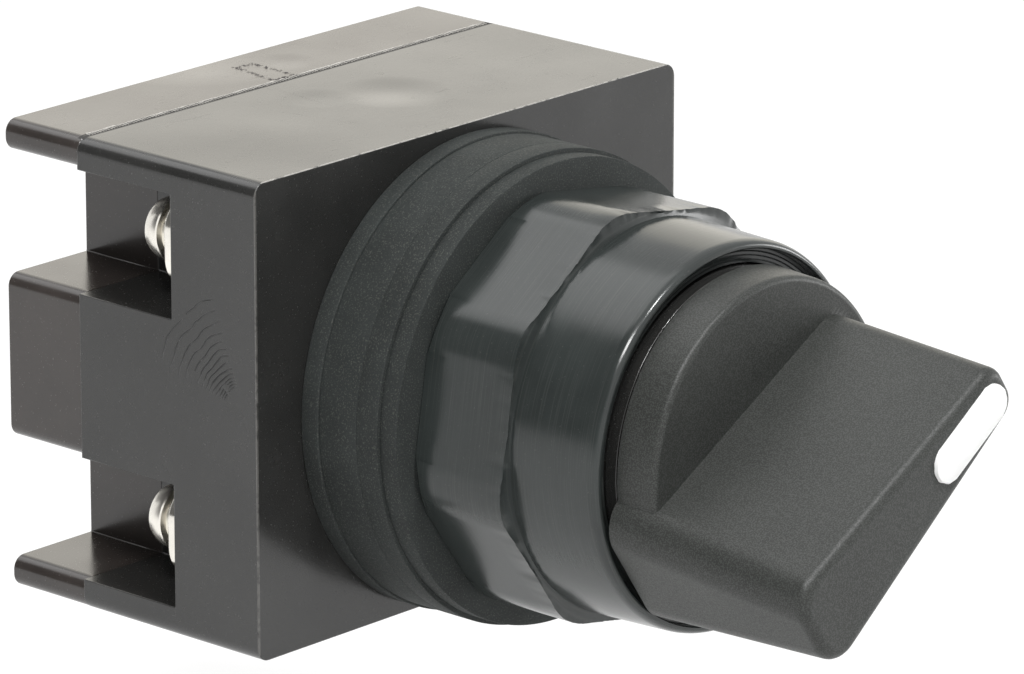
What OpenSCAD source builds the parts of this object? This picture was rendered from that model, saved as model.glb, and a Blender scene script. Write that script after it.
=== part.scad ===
// Two-position selector switch for a 30.5 mm panel hole.
// The origin lies on the knob's axis at the front face of the gasket stack.
// +Y runs to the rear through the panel, +Z is up, +X is to the right seen from the front.

/* [Block] */
// Width of the terminal block
block_w = 54; // [52:0.5:64]
// Height of the terminal block
block_h = 43; // [42:0.5:50]
// Depth of the front moulding, from its face to the seam
front_d = 21.4; // [20:0.1:26]
// Depth of the rear cover behind the seam
cover_d = 9; // [8.6:0.1:12]
// How far the knob's axis lies below the middle of the block
axis_drop = 0.9; // [0:0.1:1.4]
// Thickness of the outer walls
wall = 2; // [1.6:0.1:2.2]
// Thickness of the wall behind the gaskets
front_wall = 2.6; // [2.2:0.1:3]
// Thickness of the back wall of the rear cover
back_wall = 2.2; // [1.6:0.1:2.4]
// Radius along the outer edges of the front moulding
edge_r = 1.3; // [0.3:0.1:1.5]
// Radius along the long edges of the rear cover
cover_edge_r = 1.2; // [0.4:0.1:1.2]
// How far the sides of the rear cover stand back from the front moulding
cover_inset = 0.15; // [0.05:0.05:0.4]

/* [Terminal recesses] */
// Depth of each recess, inwards from the side of the block
recess_in = 9.8; // [9:0.1:11]
// Height of each recess
recess_h = 11.2; // [10.4:0.1:11.4]
// Thickness of the outer fins above and below the recesses
fin_t = 2.8; // [2.45:0.05:3.05]
// Distance from the block's face to the floor of the recesses
recess_floor = 10.1; // [9.9:0.1:10.6]
// Thickness of the floor and of the inner wall of a recess
recess_wall = 2; // [1.4:0.1:2.4]

/* [Terminals] */
// Thickness of the terminal strips
strip_t = 1.2; // [0.8:0.1:1.4]
// Height of the part of a strip that lies in its recess
strip_h = 8.3; // [7.6:0.1:9]
// Corner radius of a strip in its recess
strip_corner_r = 3; // [0.5:0.1:3.2]
// How far a strip stands back from the side of the block
strip_setback = 0.4; // [0.2:0.1:1]
// How far the terminals sit above the middle of their recesses
terminal_rise = 0.7; // [0:0.1:1]
// Height of the tongue of a strip inside the block
tongue_h = 4.4; // [4:0.1:4.8]
// Distance from the axis to the inner end of a tongue
tongue_x = 6.6; // [6.2:0.1:7]
// Diameter of the terminal screws' shank
screw_d = 3.5; // [3:0.1:4]
// Length of the terminal screws' shank
screw_l = 9; // [7:0.1:9.2]
// Diameter of the terminal screws' head
screw_head_d = 6; // [5.5:0.1:7]
// Height of the straight side of a terminal screw's head
screw_head_h = 2.3; // [1.6:0.1:2.6]
// Height of the dome on a terminal screw's head
screw_dome_h = 1; // [0.5:0.1:1.2]
// How far the terminal screws are backed out, ready for a wire
screw_lift = 2; // [0.1:0.1:2.5]

/* [Gaskets] */
// Thickness of the gasket against the block
gasket_rear_t = 1.9; // [1:0.1:3]
// Thickness of the thick spacer gasket
gasket_spacer_t = 4.4; // [2:0.1:5]
// Thickness of the middle gasket
gasket_middle_t = 2.4; // [1:0.1:3]
// Thickness of the gasket against the ring nut
gasket_front_t = 1.9; // [1:0.1:3]
// Diameter of the spacer and middle gaskets
gasket_d = 42.6; // [40:0.1:46]
// How much wider the gasket against the block is
gasket_rear_more = 0.4; // [0:0.1:1]
// How much narrower the gasket against the ring nut is
gasket_front_less = 0.8; // [0:0.1:2]
// Chamfer on the gaskets' edges
gasket_chamfer = 0.25; // [0.1:0.05:0.4]

/* [Bushing] */
// Diameter of the threaded bushing over its thread
bushing_d = 30; // [29.6:0.1:30.2]
// Reach of the bushing in front of the gaskets
bushing_reach = 19.9; // [19.7:0.1:20.5]
// Diameter of the bearing bore for the knob's stem
bearing_d = 16; // [14:0.1:18]
// Length of the bearing bore
bearing_l = 7.9; // [7.9:0.1:9]

/* [Ring nut] */
// Width of the ring nut across its flats
nut_flats = 36.1; // [35.6:0.1:38]
// Radius of the rounded corners between the flats
nut_corner_r = 6.1; // [4:0.1:8]
// Length of the ring nut's flats
nut_grip_l = 10.2; // [7:0.1:12]
// Turn of the ring nut about the axis, in degrees
nut_turn = 35.7; // [0:0.1:45]
// Diameter of the round collar behind, next to the flats
collar_rear_d = 35.2; // [34.9:0.1:35.5]
// Diameter of the round collar at its front rim
collar_front_d = 34.6; // [34.4:0.1:34.8]
// Length of the ring nut over all
nut_l = 19.6; // [18:0.1:19.8]
// Radius of the front rim's outer edge
collar_edge_r = 0.5; // [0.2:0.1:0.7]
// Diameter of the wider mouth of the ring nut
mouth_d = 33; // [31.5:0.1:33.2]
// Depth of the wider mouth
mouth_l = 1; // [0.5:0.1:5]

/* [Knob] */
// Angle of the pointer above the block's long axis at either stop, in degrees
pointer_angle = 34; // [30:0.5:38]
// Diameter of the knob's disc
disc_d = 30.6; // [28:0.1:32]
// Thickness of the knob's disc
disc_t = 4.1; // [3:0.1:6]
// Edge radius of the disc
disc_edge_r = 0.6; // [0.3:0.1:1.4]
// Gap between the disc and the end of the bushing
disc_gap = 0.3; // [0.2:0.05:0.5]
// Height of the lever above the disc
lever_h = 17; // [10:0.1:24]
// Reach of the lever's pointing end from the axis
lever_tip = 13.1; // [12:0.1:15]
// Reach of the lever's tail from the axis
lever_tail = 16.3; // [14:0.1:18]
// Half width of the lever at the disc, on the axis
lever_foot_w = 5.5; // [5:0.1:7]
// Half width of the lever at its front face, on the axis
lever_front_w = 3.66; // [3.4:0.02:5]
// Narrowing of each side of the lever towards the pointing end, in degrees
lever_taper = 4.4; // [0:0.1:5]
// Corner radius of the pointing end
tip_corner_r = 2.2; // [1.4:0.1:2.4]
// Corner radius of the tail
tail_corner_r = 3.2; // [1.4:0.1:3.4]
// Edge radius round the lever's front face
lever_edge_r = 1; // [0.5:0.1:1.3]
// Length of the index insert
insert_l = 10.4; // [6:0.1:10.8]
// Width of the index insert
insert_w = 3.6; // [2:0.1:4]
// Distance from the lever's pointing end to the insert
insert_margin = 1.1; // [0.8:0.1:3]
// Depth of the insert's pocket
insert_depth = 2; // [1:0.1:6]
// How far the insert stands out of the lever
insert_proud = 0.4; // [0:0.1:0.6]
// Width across the square drive behind the stem
drive_w = 9; // [8:0.1:9.4]
// Length of the square drive
drive_l = 6; // [4:0.1:7]

/* [Stem seal] */
// Thickness of the O-ring's section
seal_t = 1.8; // [1.2:0.1:2.2]
// Distance from the disc to the middle of the O-ring
seal_pos = 4.2; // [3:0.1:5.6]

/* [Rotor] */
// Diameter of the rotor
rotor_d = 21.6; // [21:0.1:21.6]
// Distance from the front wall's inner face to the rear face of the rotor's drum
rotor_reach = 2.3; // [2.2:0.1:2.5]
// Rise of the cam for each degree of turn
cam_rate = 0.05; // [0.04:0.001:0.052]
// Angle from the cam's high side at which its ramps begin, in degrees
ramp_start = 50; // [46:1:52]
// Angle from the cam's high side at which its ramps end, in degrees
ramp_end = 130; // [126:1:134]
// Inner diameter of the cam
cam_inner_d = 9.6; // [9.2:0.1:10]
// Thickness of the web that the rotor screw clamps
web_t = 3; // [2:0.1:4]
// Diameter of the rotor screw
rotor_screw_d = 3.5; // [3:0.1:4]
// Length of the rotor screw's shank
rotor_screw_l = 12; // [9:0.5:14]
// Diameter of the rotor screw's head
rotor_head_d = 6.8; // [6:0.1:8]
// Height of the rotor screw's head
rotor_head_h = 2.4; // [1.8:0.1:3]
// Width of the stop lug on the rotor, in degrees
lug_angle = 24; // [16:1:30]
// Height of the stop lug above the rotor
lug_h = 2; // [1.4:0.1:2.2]

/* [Detent] */
// Thickness of the detent spring
detent_t = 0.5; // [0.3:0.05:0.6]
// Width of the detent spring
detent_w = 3.6; // [2.6:0.1:4]
// Length of the detent spring
detent_l = 18; // [16:0.5:20]
// Depth of the notches in the rotor
notch_depth = 0.95; // [0.7:0.05:1]

/* [Plungers] */
// Distance of the cam followers from the axis
follower_r = 7.5; // [7.2:0.1:7.8]
// Width of a plunger
plunger_w = 9; // [8:0.1:10]
// Distance from the axis to the inner side of a plunger
plunger_in = 5; // [4.6:0.1:5.4]
// Distance from the plungers' outer sides to the wall below them
plunger_margin = 0.95; // [0.8:0.05:1.1]
// Length of a plunger behind its nose
plunger_l = 14.5; // [14:0.1:14.8]
// Radius of a plunger's nose
nose_r = 1.5; // [1:0.1:1.8]
// Height of the nose above the plunger's body
nose_h = 3; // [2.8:0.1:3.2]
// Gap between a plunger's nose and the cam
nose_gap = 0.35; // [0.3:0.05:0.4]
// Length of the guide sleeves in the rear cover
sleeve_l = 10; // [9:0.1:10.2]
// Thickness of the guide sleeves' walls
sleeve_wall = 1.6; // [1:0.1:2]

/* [Contacts] */
// Length of a contact bridge
bridge_l = 22.4; // [21.6:0.1:24]
// Height of a contact bridge
bridge_h = 4; // [3.6:0.1:4]
// Thickness of a contact bridge
bridge_t = 1; // [0.8:0.1:1.2]
// Diameter of the contact buttons
button_d = 3.6; // [2.8:0.1:3.8]
// Thickness of the contact buttons
button_t = 0.7; // [0.5:0.1:0.8]
// Distance from the axis plane to the contact buttons
button_x = 9; // [8.6:0.1:9.2]
// Gap left between closed contacts
contact_gap = 0.1; // [0.05:0.05:0.2]
// Wire thickness of the contact springs
contact_wire = 0.5; // [0.4:0.05:0.6]
// Mean diameter of the contact springs
contact_coil_d = 3.4; // [3:0.1:3.5]
// Wire thickness of the return springs
return_wire = 0.6; // [0.5:0.05:0.65]
// Mean diameter of the return springs
return_coil_d = 4.6; // [4.2:0.1:4.8]
// Depth of the pocket for a return spring
return_pocket = 2.4; // [2:0.1:2.6]

/* [Clearances] */
// Radial clearance of the stem in its bearing
run_fit = 0.05; // [0.03:0.01:0.08]
// Clearance beside sliding and loosely fitted pieces
slide_gap = 0.15; // [0.1:0.01:0.2]
// Radial clearance of screws and threads
thread_gap = 0.03; // [0.02:0.01:0.05]
// Axial play of the rotor
rotor_play = 0.2; // [0.1:0.05:0.3]
// Radial clearance of the rotor in its chamber
rotor_gap = 0.4; // [0.3:0.05:0.6]

/* [Hidden] */
$fn = 64;
over = 1;

// Small fixed sizes: the front moulding
boss_wall = 2;
boss_floor = 1;
hole_gap = 0.25;
stop_gap = 1;
stop_t = 3;
stop_wall = 1;
post_side = 1.7;
post_hold = 2.2;
post_cap = 1.4;
spring_boss_h = 1.5;

// Small fixed sizes: the ring nut and the knob
crown_h = 1.3;
crown_slope = 0.2;
nut_chamfer = 0.8;
nut_foot = 0.1;
nut_lead = 0.6;
step_lap = 0.3;
disc_draft = 0.2;
corner_draft = 0.2;
tail_lean = 0.9;
insert_edge = 0.2;
hole_spare = 1.5;

// Small fixed sizes: the rotor and the detent
cam_step = 0.2;
lug_gap = 0.3;
lug_root = 1;
notch_r = 2;
detent_off = 1.5;
dimple_h = 5.4;
dimple_flat = 1.1;
detent_play = 0.05;
slot_w = 0.9;
slot_depth = 1.2;

// Small fixed sizes: the plungers
nose_l = 3.4;
window_gap = 0.5;
window_wall = 1.5;
pocket_gap = 0.3;
closed_end = 1.05;

// Stations along the axis, from the front to the rear
stack_t = gasket_rear_t + gasket_spacer_t + gasket_middle_t + gasket_front_t;
block_y = stack_t;
inner_y = block_y + front_wall;
floor_y = block_y + recess_floor;
seam_y = block_y + front_d;
back_y = seam_y + cover_d;
cover_inner_y = back_y - back_wall;
bushing_y = -bushing_reach;
shoulder_y = bushing_y + bearing_l;
disc_rear_y = bushing_y - disc_gap;
disc_front_y = disc_rear_y - disc_t;
lever_front_y = disc_front_y - lever_h;
rotor_front_y = shoulder_y + rotor_play;
rotor_rear_y = inner_y + rotor_reach;
drive_end_y = rotor_front_y + drive_l;
web_rear_y = drive_end_y + web_t;

// Places across the block
block_z = axis_drop;
side_x = block_w / 2;
recess_x = side_x - recess_in;
cavity_x = recess_x - recess_wall;
pocket_x = side_x - wall;
cavity_h = block_h - 2 * wall;
recess_z = block_h / 2 - fin_t - recess_h / 2;
web_half_h = recess_z - recess_h / 2;
screw_x = side_x - recess_in / 2;
contact_z = recess_z;
chamber_d = rotor_d + 2 * rotor_gap;
gasket_rear_d = gasket_d + gasket_rear_more;
gasket_front_d = gasket_d - gasket_front_less;
plunger_out = cavity_h / 2 - axis_drop - plunger_margin;

// Positions of the cam and the plungers at either stop
throw = 2 * pointer_angle;
stroke = throw * cam_rate;
pressed_y = rotor_rear_y + cam_rise(90 - pointer_angle) + nose_gap;
released_y = rotor_rear_y + cam_rise(90 + pointer_angle) + nose_gap;
strip_rear_y = floor_y + strip_t;
bridge_pos = strip_rear_y + 2 * button_t + contact_gap - released_y;
plunger_end = nose_h + plunger_l;
window_front = bridge_pos - window_gap;
window_rear = plunger_end - return_pocket - window_wall;
coil_z = (plunger_in + plunger_out) / 2;
sleeve_y = cover_inner_y - sleeve_l;

// Positions of the smaller features
stop_in = chamber_d / 2 + cam_step;
stop_out = rotor_d / 2 + lug_h + stop_wall;
detent_x = rotor_d / 2 + detent_off;
notch_x = rotor_d / 2 - notch_depth + notch_r;
seal_y = disc_rear_y + seal_pos;
groove_w = 1.25 * seal_t;
crown_r = nut_flats / 2 + crown_h;

function cam_rise(angle) = cam_rate * (ramp_end - min(max(abs(angle), ramp_start), ramp_end));

// A flat shape in X and Z drawn out along Y from y0 to y1
module along_y(y0, y1) {
  translate([0, y1, 0]) rotate([90, 0, 0]) linear_extrude(y1 - y0) children();
}

// A profile of [radius, y] points turned about the Y axis
module turned(points) {
  rotate([-90, 0, 0]) rotate_extrude() polygon(points);
}

module bore(d, y0, y1) {
  translate([0, y0, 0]) rotate([-90, 0, 0]) cylinder(d = d, h = y1 - y0);
}

module box(x0, x1, y0, y1, z0, z1) {
  translate([x0, y0, z0]) cube([x1 - x0, y1 - y0, z1 - z0]);
}

module rounded_rect(w, h, r) {
  square([w - 2 * r, h], center = true);
  square([w, h - 2 * r], center = true);
  for (x = [-1, 1], z = [-1, 1]) translate([x * (w / 2 - r), z * (h / 2 - r)]) circle(r);
}

module stadium(l, w) {
  square([l - w, w], center = true);
  for (x = [-1, 1]) translate([x * (l - w) / 2, 0]) circle(d = w);
}

// Turns what is drawn with its pointer along +X to the stop seen at rest
module at_rest() {
  rotate([0, -pointer_angle, 0]) children();
}

// Places the four terminals: side is -1 or 1 in X, level is -1 or 1 in Z
module at_terminal(side, level) {
  translate([side * screw_x, 0, block_z + level * recess_z + terminal_rise]) children();
}

// A bar of the rear cover between z0 and z1, with soft long edges
module cover_bar(z0, z1) {
  translate([0, 0, (z0 + z1) / 2]) along_y(seam_y, back_y)
    rounded_rect(block_w - 2 * cover_inset, z1 - z0, cover_edge_r);
}

// The terminal recesses, open to the side and to the rear
module recesses(y0, y1) {
  for (side = [-1, 1], level = [-1, 1]) {
    x0 = side > 0 ? recess_x : -side_x - over;
    z0 = block_z + level * recess_z - recess_h / 2;
    box(x0, x0 + recess_in + over, y0, y1, z0, z0 + recess_h);
  }
}

// The hollow behind the recess floors: a middle well and a slot into each middle fin
module rear_hollow(y0, y1) {
  box(-cavity_x, cavity_x, y0, y1, block_z - cavity_h / 2, block_z + cavity_h / 2);
  box(-pocket_x, pocket_x, y0, y1, block_z - web_half_h + wall, block_z + web_half_h - wall);
}

module front_housing() {
  color([0.13, 0.13, 0.13]) difference() {
    union() {
      difference() {
        translate([0, 0, block_z])
          along_y(block_y, seam_y) rounded_rect(block_w, block_h, edge_r);
        recesses(floor_y, seam_y + over);
        rear_hollow(inner_y, seam_y + over);
        box(-pocket_x, pocket_x, inner_y, floor_y - recess_wall,
            block_z - cavity_h / 2, block_z + cavity_h / 2);
      }
      bore(bushing_d, bushing_y, inner_y - front_wall / 2);
      for (side = [-1, 1], level = [-1, 1])
        at_terminal(side, level)
          bore(screw_d + 2 * boss_wall, inner_y - front_wall / 2, floor_y - recess_wall / 2);
      stops();
      detent_posts();
    }
    bore(bearing_d, bushing_y - over, shoulder_y + over);
    bore(chamber_d, shoulder_y, inner_y + over);
    for (side = [-1, 1], level = [-1, 1]) {
      at_terminal(side, level) bore(screw_d + 2 * hole_gap, inner_y + boss_floor, floor_y + over);
      x0 = side > 0 ? cavity_x - over : -recess_x - over;
      z0 = level * contact_z - tongue_h / 2 - slide_gap;
      box(x0, x0 + recess_wall + 2 * over, floor_y - slide_gap, strip_rear_y + slide_gap,
          z0, z0 + tongue_h + 2 * slide_gap);
    }
  }
}

// Two blocks that stop the rotor's lug at either end of its turn
module stops() {
  for (level = [-1, 1]) rotate([0, -180 + level * (pointer_angle + lug_angle / 2 + stop_gap), 0])
    box(stop_in, stop_out, inner_y - front_wall / 2, rotor_rear_y,
        level > 0 ? -stop_t : 0, level > 0 ? 0 : stop_t);
}

// Posts that hold the ends of the detent spring
module detent_posts() {
  end = detent_l / 2;
  for (level = [0, 1]) mirror([0, 0, level]) difference() {
    box(detent_x - post_side, detent_x + post_side, inner_y - front_wall / 2, inner_y + detent_w,
        end - post_hold, end + post_cap);
    box(detent_x - detent_t / 2 - slide_gap, detent_x + detent_t / 2 + slide_gap,
        inner_y + slide_gap, inner_y + detent_w + over, end - post_hold - over, end + slide_gap);
  }
}

module rear_cover() {
  top = block_z + block_h / 2;
  bottom = block_z - block_h / 2;
  color([0.12, 0.12, 0.12]) {
    difference() {
      union() {
        cover_bar(top - fin_t, top);
        cover_bar(bottom, bottom + fin_t);
        cover_bar(block_z - web_half_h, block_z + web_half_h);
        box(-recess_x, recess_x, seam_y, back_y, bottom + fin_t / 2, top - fin_t / 2);
      }
      rear_hollow(seam_y - over, cover_inner_y);
    }
    for (level = [-1, 1]) {
      difference() {
        sleeve_block(level);
        z0 = level > 0 ? plunger_in : -plunger_out;
        box(-plunger_w / 2 - slide_gap, plunger_w / 2 + slide_gap, sleeve_y - over, cover_inner_y,
            z0 - slide_gap, z0 + plunger_out - plunger_in + slide_gap);
      }
      translate([0, 0, level * coil_z])
        bore(return_coil_d - return_wire - 1, cover_inner_y - spring_boss_h, cover_inner_y + 0.5);
    }
  }
}

module sleeve_block(level) {
  half_x = plunger_w / 2 + slide_gap + sleeve_wall;
  near = plunger_in - slide_gap - sleeve_wall;
  far = cavity_h / 2 + level * block_z;
  for (part = [[sleeve_y, far - slide_gap], [seam_y, far + wall / 2]])
    box(-half_x, half_x, part[0], cover_inner_y + back_wall / 2,
        level > 0 ? near : -part[1], level > 0 ? part[1] : -near);
}

// A gasket ring between y0 and y1
module gasket(d, y0, t) {
  r = d / 2;
  c = gasket_chamfer;
  color([0.16, 0.16, 0.15]) turned([
    [bushing_d / 2 + slide_gap, y0], [r - c, y0], [r, y0 + c],
    [r, y0 + t - c], [r - c, y0 + t], [bushing_d / 2 + slide_gap, y0 + t]]);
}

module gasket_front() {
  gasket(gasket_front_d, 0, gasket_front_t);
}

module gasket_middle() {
  gasket(gasket_d, gasket_front_t, gasket_middle_t);
}

module gasket_spacer() {
  gasket(gasket_d, gasket_front_t + gasket_middle_t, gasket_spacer_t);
}

module gasket_rear() {
  gasket(gasket_rear_d, block_y - gasket_rear_t, gasket_rear_t);
}

// Eight flats with rounded corners between them
module grip_outline() {
  reach = (nut_flats / 2 - nut_corner_r) / cos(22.5);
  corners = [for (i = [0:7]) (i + 0.5) * 360 / 8];
  polygon([for (a = corners, side = [-22.5, 22.5])
    reach * [cos(a), sin(a)] + nut_corner_r * [cos(a + side), sin(a + side)]]);
  for (a = corners) translate(reach * [cos(a), sin(a)]) circle(nut_corner_r);
}

module ring_nut() {
  rear_r = collar_rear_d / 2;
  front_r = collar_front_d / 2;
  thread_r = bushing_d / 2 + slide_gap;
  e = collar_edge_r;
  color([0.2, 0.21, 0.2]) difference() {
    union() {
      intersection() {
        rotate([0, -nut_turn, 0]) along_y(-nut_grip_l - over, 0) grip_outline();
        turned([[0, 0], [crown_r - nut_chamfer, 0], [crown_r, -nut_chamfer],
          [crown_r, crown_slope * crown_h - nut_grip_l],
          [rear_r - step_lap, -nut_grip_l - nut_foot], [0, -nut_grip_l - nut_foot]]);
      }
      turned([[0, over - nut_grip_l], [rear_r, over - nut_grip_l], [front_r, e - nut_l],
        for (a = [15:15:90]) [front_r - e + e * cos(a), e - nut_l - e * sin(a)], [0, -nut_l]]);
    }
    turned([[0, over], [thread_r + nut_lead, over], [thread_r + nut_lead, 0], [thread_r, -nut_lead],
      [thread_r, mouth_l - nut_l], [mouth_d / 2, mouth_l - nut_l], [mouth_d / 2, -nut_l - over],
      [0, -nut_l - over]]);
  }
}

// A round slab of the lever's outline: r in plan, with a soft front edge
module lever_corner(r, e) {
  rotate([90, 0, 0]) rotate_extrude($fn = 32) {
    square([r - e, e]);
    intersection() {
      translate([r - e, 0]) circle(e, $fn = 24);
      square([r, e]);
    }
  }
}

module lever() {
  k = tan(lever_taper);
  slope = (lever_foot_w - lever_front_w) / lever_h;
  root_w = lever_foot_w + slope * disc_t;
  hull() for (side = [-1, 1]) {
    for (end = [[lever_tip - tip_corner_r, tip_corner_r], [tail_corner_r - lever_tail, tail_corner_r]]) {
      x = end[0];
      r = end[1];
      lean = x > 0 ? 0 : -tail_lean;
      r_front = r - corner_draft;
      z_root = root_w - k * x - r / cos(lever_taper);
      translate([x, disc_rear_y, side * z_root]) rotate([90, 0, 0]) cylinder(r = r, h = 0.1, $fn = 32);
      z_front = max(lever_front_w - k * x - r_front / cos(lever_taper), 0.05);
      translate([x + lean, lever_front_y + lever_edge_r, side * z_front])
        lever_corner(r_front, lever_edge_r);
    }
  }
}

module knob() {
  disc_r = disc_d / 2;
  e = disc_edge_r;
  stem_r = bearing_d / 2 - run_fit;
  color([0.22, 0.22, 0.22]) at_rest() difference() {
    union() {
      turned([[0, disc_rear_y], [disc_r, disc_rear_y],
        for (a = [0:15:90]) [disc_r - disc_draft - e + e * cos(a), disc_front_y + e - e * sin(a)],
        [0, disc_front_y]]);
      lever();
      bore(2 * stem_r, disc_rear_y - over, rotor_front_y);
      box(-drive_w / 2, drive_w / 2, rotor_front_y - over, drive_end_y - slide_gap,
          -drive_w / 2, drive_w / 2);
    }
    turned([[stem_r - seal_t, seal_y - groove_w / 2], [stem_r + over, seal_y - groove_w / 2],
      [stem_r + over, seal_y + groove_w / 2], [stem_r - seal_t, seal_y + groove_w / 2]]);
    bore(rotor_screw_d, web_rear_y - rotor_screw_l - hole_spare, drive_end_y + over);
    insert_shape(lever_front_y - over, lever_front_y + insert_depth, insert_w + 2 * thread_gap);
  }
}

// The slot-shaped index insert between y0 and y1
module insert_shape(y0, y1, w) {
  translate([lever_tip - insert_margin - insert_l / 2, 0, 0])
    along_y(y0, y1) stadium(insert_l + w - insert_w, w);
}

module index_insert() {
  color([0.95, 0.95, 0.93]) at_rest() {
    insert_shape(lever_front_y - insert_proud + insert_edge, lever_front_y + insert_depth, insert_w);
    insert_shape(lever_front_y - insert_proud, lever_front_y, insert_w - 2 * insert_edge);
  }
}

module stem_seal() {
  color([0.1, 0.1, 0.1]) translate([0, seal_y, 0]) rotate([-90, 0, 0]) rotate_extrude()
    translate([bearing_d / 2 - run_fit - seal_t / 2, 0]) circle(d = seal_t - 0.02);
}

// The ring-shaped face cam: high on the pointer's side, with a ramp down either way
module cam_ring() {
  step = 5;
  n = 360 / step;
  r0 = cam_inner_d / 2;
  r1 = rotor_d / 2 - cam_step;
  foot = rotor_rear_y - over;
  points = [for (i = [0:n - 1])
    let (a = i * step, top = rotor_rear_y + cam_rise(a > 180 ? a - 360 : a))
    each [[r0 * cos(a), foot, r0 * sin(a)], [r1 * cos(a), foot, r1 * sin(a)],
      [r1 * cos(a), top, r1 * sin(a)], [r0 * cos(a), top, r0 * sin(a)]]];
  faces = [for (i = [0:n - 1], k = [0:3]) let (j = (i + 1) % n, m = (k + 1) % 4)
    each [[4 * i + k, 4 * j + k, 4 * j + m], [4 * i + k, 4 * j + m, 4 * i + m]]];
  polyhedron(points, faces);
}

module rotor() {
  root_r = rotor_d / 2 - lug_root;
  color([0.75, 0.72, 0.65]) at_rest() difference() {
    union() {
      bore(rotor_d, rotor_front_y, rotor_rear_y);
      cam_ring();
      intersection() {
        turned([[root_r, inner_y + lug_gap], [rotor_d / 2 + lug_h, inner_y + lug_gap],
          [rotor_d / 2 + lug_h, rotor_rear_y - 0.1], [root_r, rotor_rear_y - 0.1]]);
        lug_wedge();
      }
    }
    box(-drive_w / 2 - slide_gap, drive_w / 2 + slide_gap, rotor_front_y - over, drive_end_y,
        -drive_w / 2 - slide_gap, drive_w / 2 + slide_gap);
    bore(rotor_screw_d + 0.3, rotor_front_y, web_rear_y + over);
    bore(rotor_head_d + 1, web_rear_y, rotor_rear_y + rotor_d);
    for (side = [-1, 1]) rotate([0, -side * pointer_angle, 0])
      translate([notch_x, 0, 0]) bore(2 * notch_r, inner_y + 0.1, rotor_rear_y + rotor_d);
  }
}

// A wedge of the lug's angle, opposite the pointer
module lug_wedge() {
  reach = rotor_d;
  half = lug_angle / 2;
  along_y(inner_y, rotor_rear_y)
    polygon([[0, 0], -reach * [cos(half), sin(half)], -reach * [cos(half), -sin(half)]]);
}

module rotor_screw() {
  r = rotor_screw_d / 2 - thread_gap;
  top = web_rear_y + rotor_head_h;
  color([0.75, 0.73, 0.7]) at_rest() difference() {
    union() {
      bore(2 * r, web_rear_y - rotor_screw_l, web_rear_y + over);
      bore(rotor_head_d, web_rear_y, top);
    }
    box(-rotor_head_d, rotor_head_d, top - slot_depth, top + over, -slot_w / 2, slot_w / 2);
  }
}

// A strip of even thickness along a run of points
module bent_strip(points, t) {
  for (i = [0:len(points) - 2]) {
    d = points[i + 1] - points[i];
    translate(points[i]) rotate(atan2(d[1], d[0])) translate([0, -t / 2]) square([norm(d), t]);
  }
  for (i = [1:len(points) - 2]) translate(points[i]) circle(d = t);
}

module detent_spring() {
  x = detent_x;
  tip = rotor_d / 2 - notch_depth + slide_gap + detent_play + detent_t / 2;
  half = detent_l / 2 - slide_gap;
  color([0.8, 0.8, 0.82]) along_y(inner_y + 2 * slide_gap, inner_y + detent_w)
    bent_strip([[x, -half], [x, -dimple_h / 2], [tip, -dimple_flat / 2],
      [tip, dimple_flat / 2], [x, dimple_h / 2], [x, half]], detent_t);
}

// A plunger with its nose at tip_y; level is 1 above the axis and -1 below
module plunger(tip_y, level) {
  x = plunger_w / 2;
  nose_z = [follower_r - nose_l / 2, follower_r + nose_l / 2];
  color([0.7, 0.15, 0.12]) mirror([0, 0, level > 0 ? 0 : 1]) translate([0, tip_y, 0]) difference() {
    union() {
      box(-x, x, nose_h, plunger_end, plunger_in, plunger_out);
      box(-nose_r, nose_r, nose_r, nose_h + over, nose_z[0], nose_z[1]);
      translate([0, nose_r, nose_z[0]]) cylinder(r = nose_r, h = nose_l);
    }
    box(-x - over, x + over, window_front, window_rear,
        contact_z - bridge_h / 2 - slide_gap, contact_z + bridge_h / 2 + slide_gap);
    translate([0, 0, coil_z])
      bore(return_coil_d + return_wire + 2 * pocket_gap, plunger_end - return_pocket, plunger_end + over);
  }
}

module contact_bridge(tip_y, level) {
  y0 = tip_y + bridge_pos;
  z = level * contact_z;
  color([0.85, 0.55, 0.3])
    box(-bridge_l / 2, bridge_l / 2, y0, y0 + bridge_t, z - bridge_h / 2, z + bridge_h / 2);
}

// A contact button from y0 to the rear, on one side of the bridge
module contact_button(side, level, y0) {
  color([0.9, 0.9, 0.9])
    translate([side * button_x, 0, level * contact_z]) bore(button_d, y0, y0 + button_t);
}

module bridge_contact(side, tip_y, level) {
  contact_button(side, level, tip_y + bridge_pos - button_t);
}

module fixed_contact(side, level) {
  contact_button(side, level, strip_rear_y);
}

// A coil spring about a line along Y, from y0 to y1, with closed ends
module coil_spring(coil_d, wire, turns, y0, y1) {
  sides = 6;
  steps = 12;
  n = turns * steps;
  end_l = closed_end * wire;
  live_l = y1 - y0 - wire - 2 * end_l;
  rise = [for (i = [0:n]) let (t = i / steps, live = min(max(t - 1, 0), turns - 2))
    y0 + wire / 2 + min(t, 1) * end_l + live / (turns - 2) * live_l + max(t - turns + 1, 0) * end_l];
  points = [for (i = [0:n], k = [0:sides - 1]) let (a = 360 * i / steps, b = 360 * k / sides,
    r = coil_d / 2 + wire / 2 * cos(b)) [r * cos(a), rise[i] + wire / 2 * sin(b), r * sin(a)]];
  walls = [for (i = [0:n - 1], k = [0:sides - 1]) let (j = (k + 1) % sides)
    [i * sides + k, i * sides + j, (i + 1) * sides + j, (i + 1) * sides + k]];
  ends = [[for (k = [sides - 1:-1:0]) k], [for (k = [0:sides - 1]) n * sides + k]];
  color([0.78, 0.78, 0.8]) polyhedron(points, concat(walls, ends));
}

module contact_spring(tip_y, level) {
  translate([0, 0, level * contact_z])
    coil_spring(contact_coil_d, contact_wire, 5, tip_y + bridge_pos + bridge_t, tip_y + window_rear);
}

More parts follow.
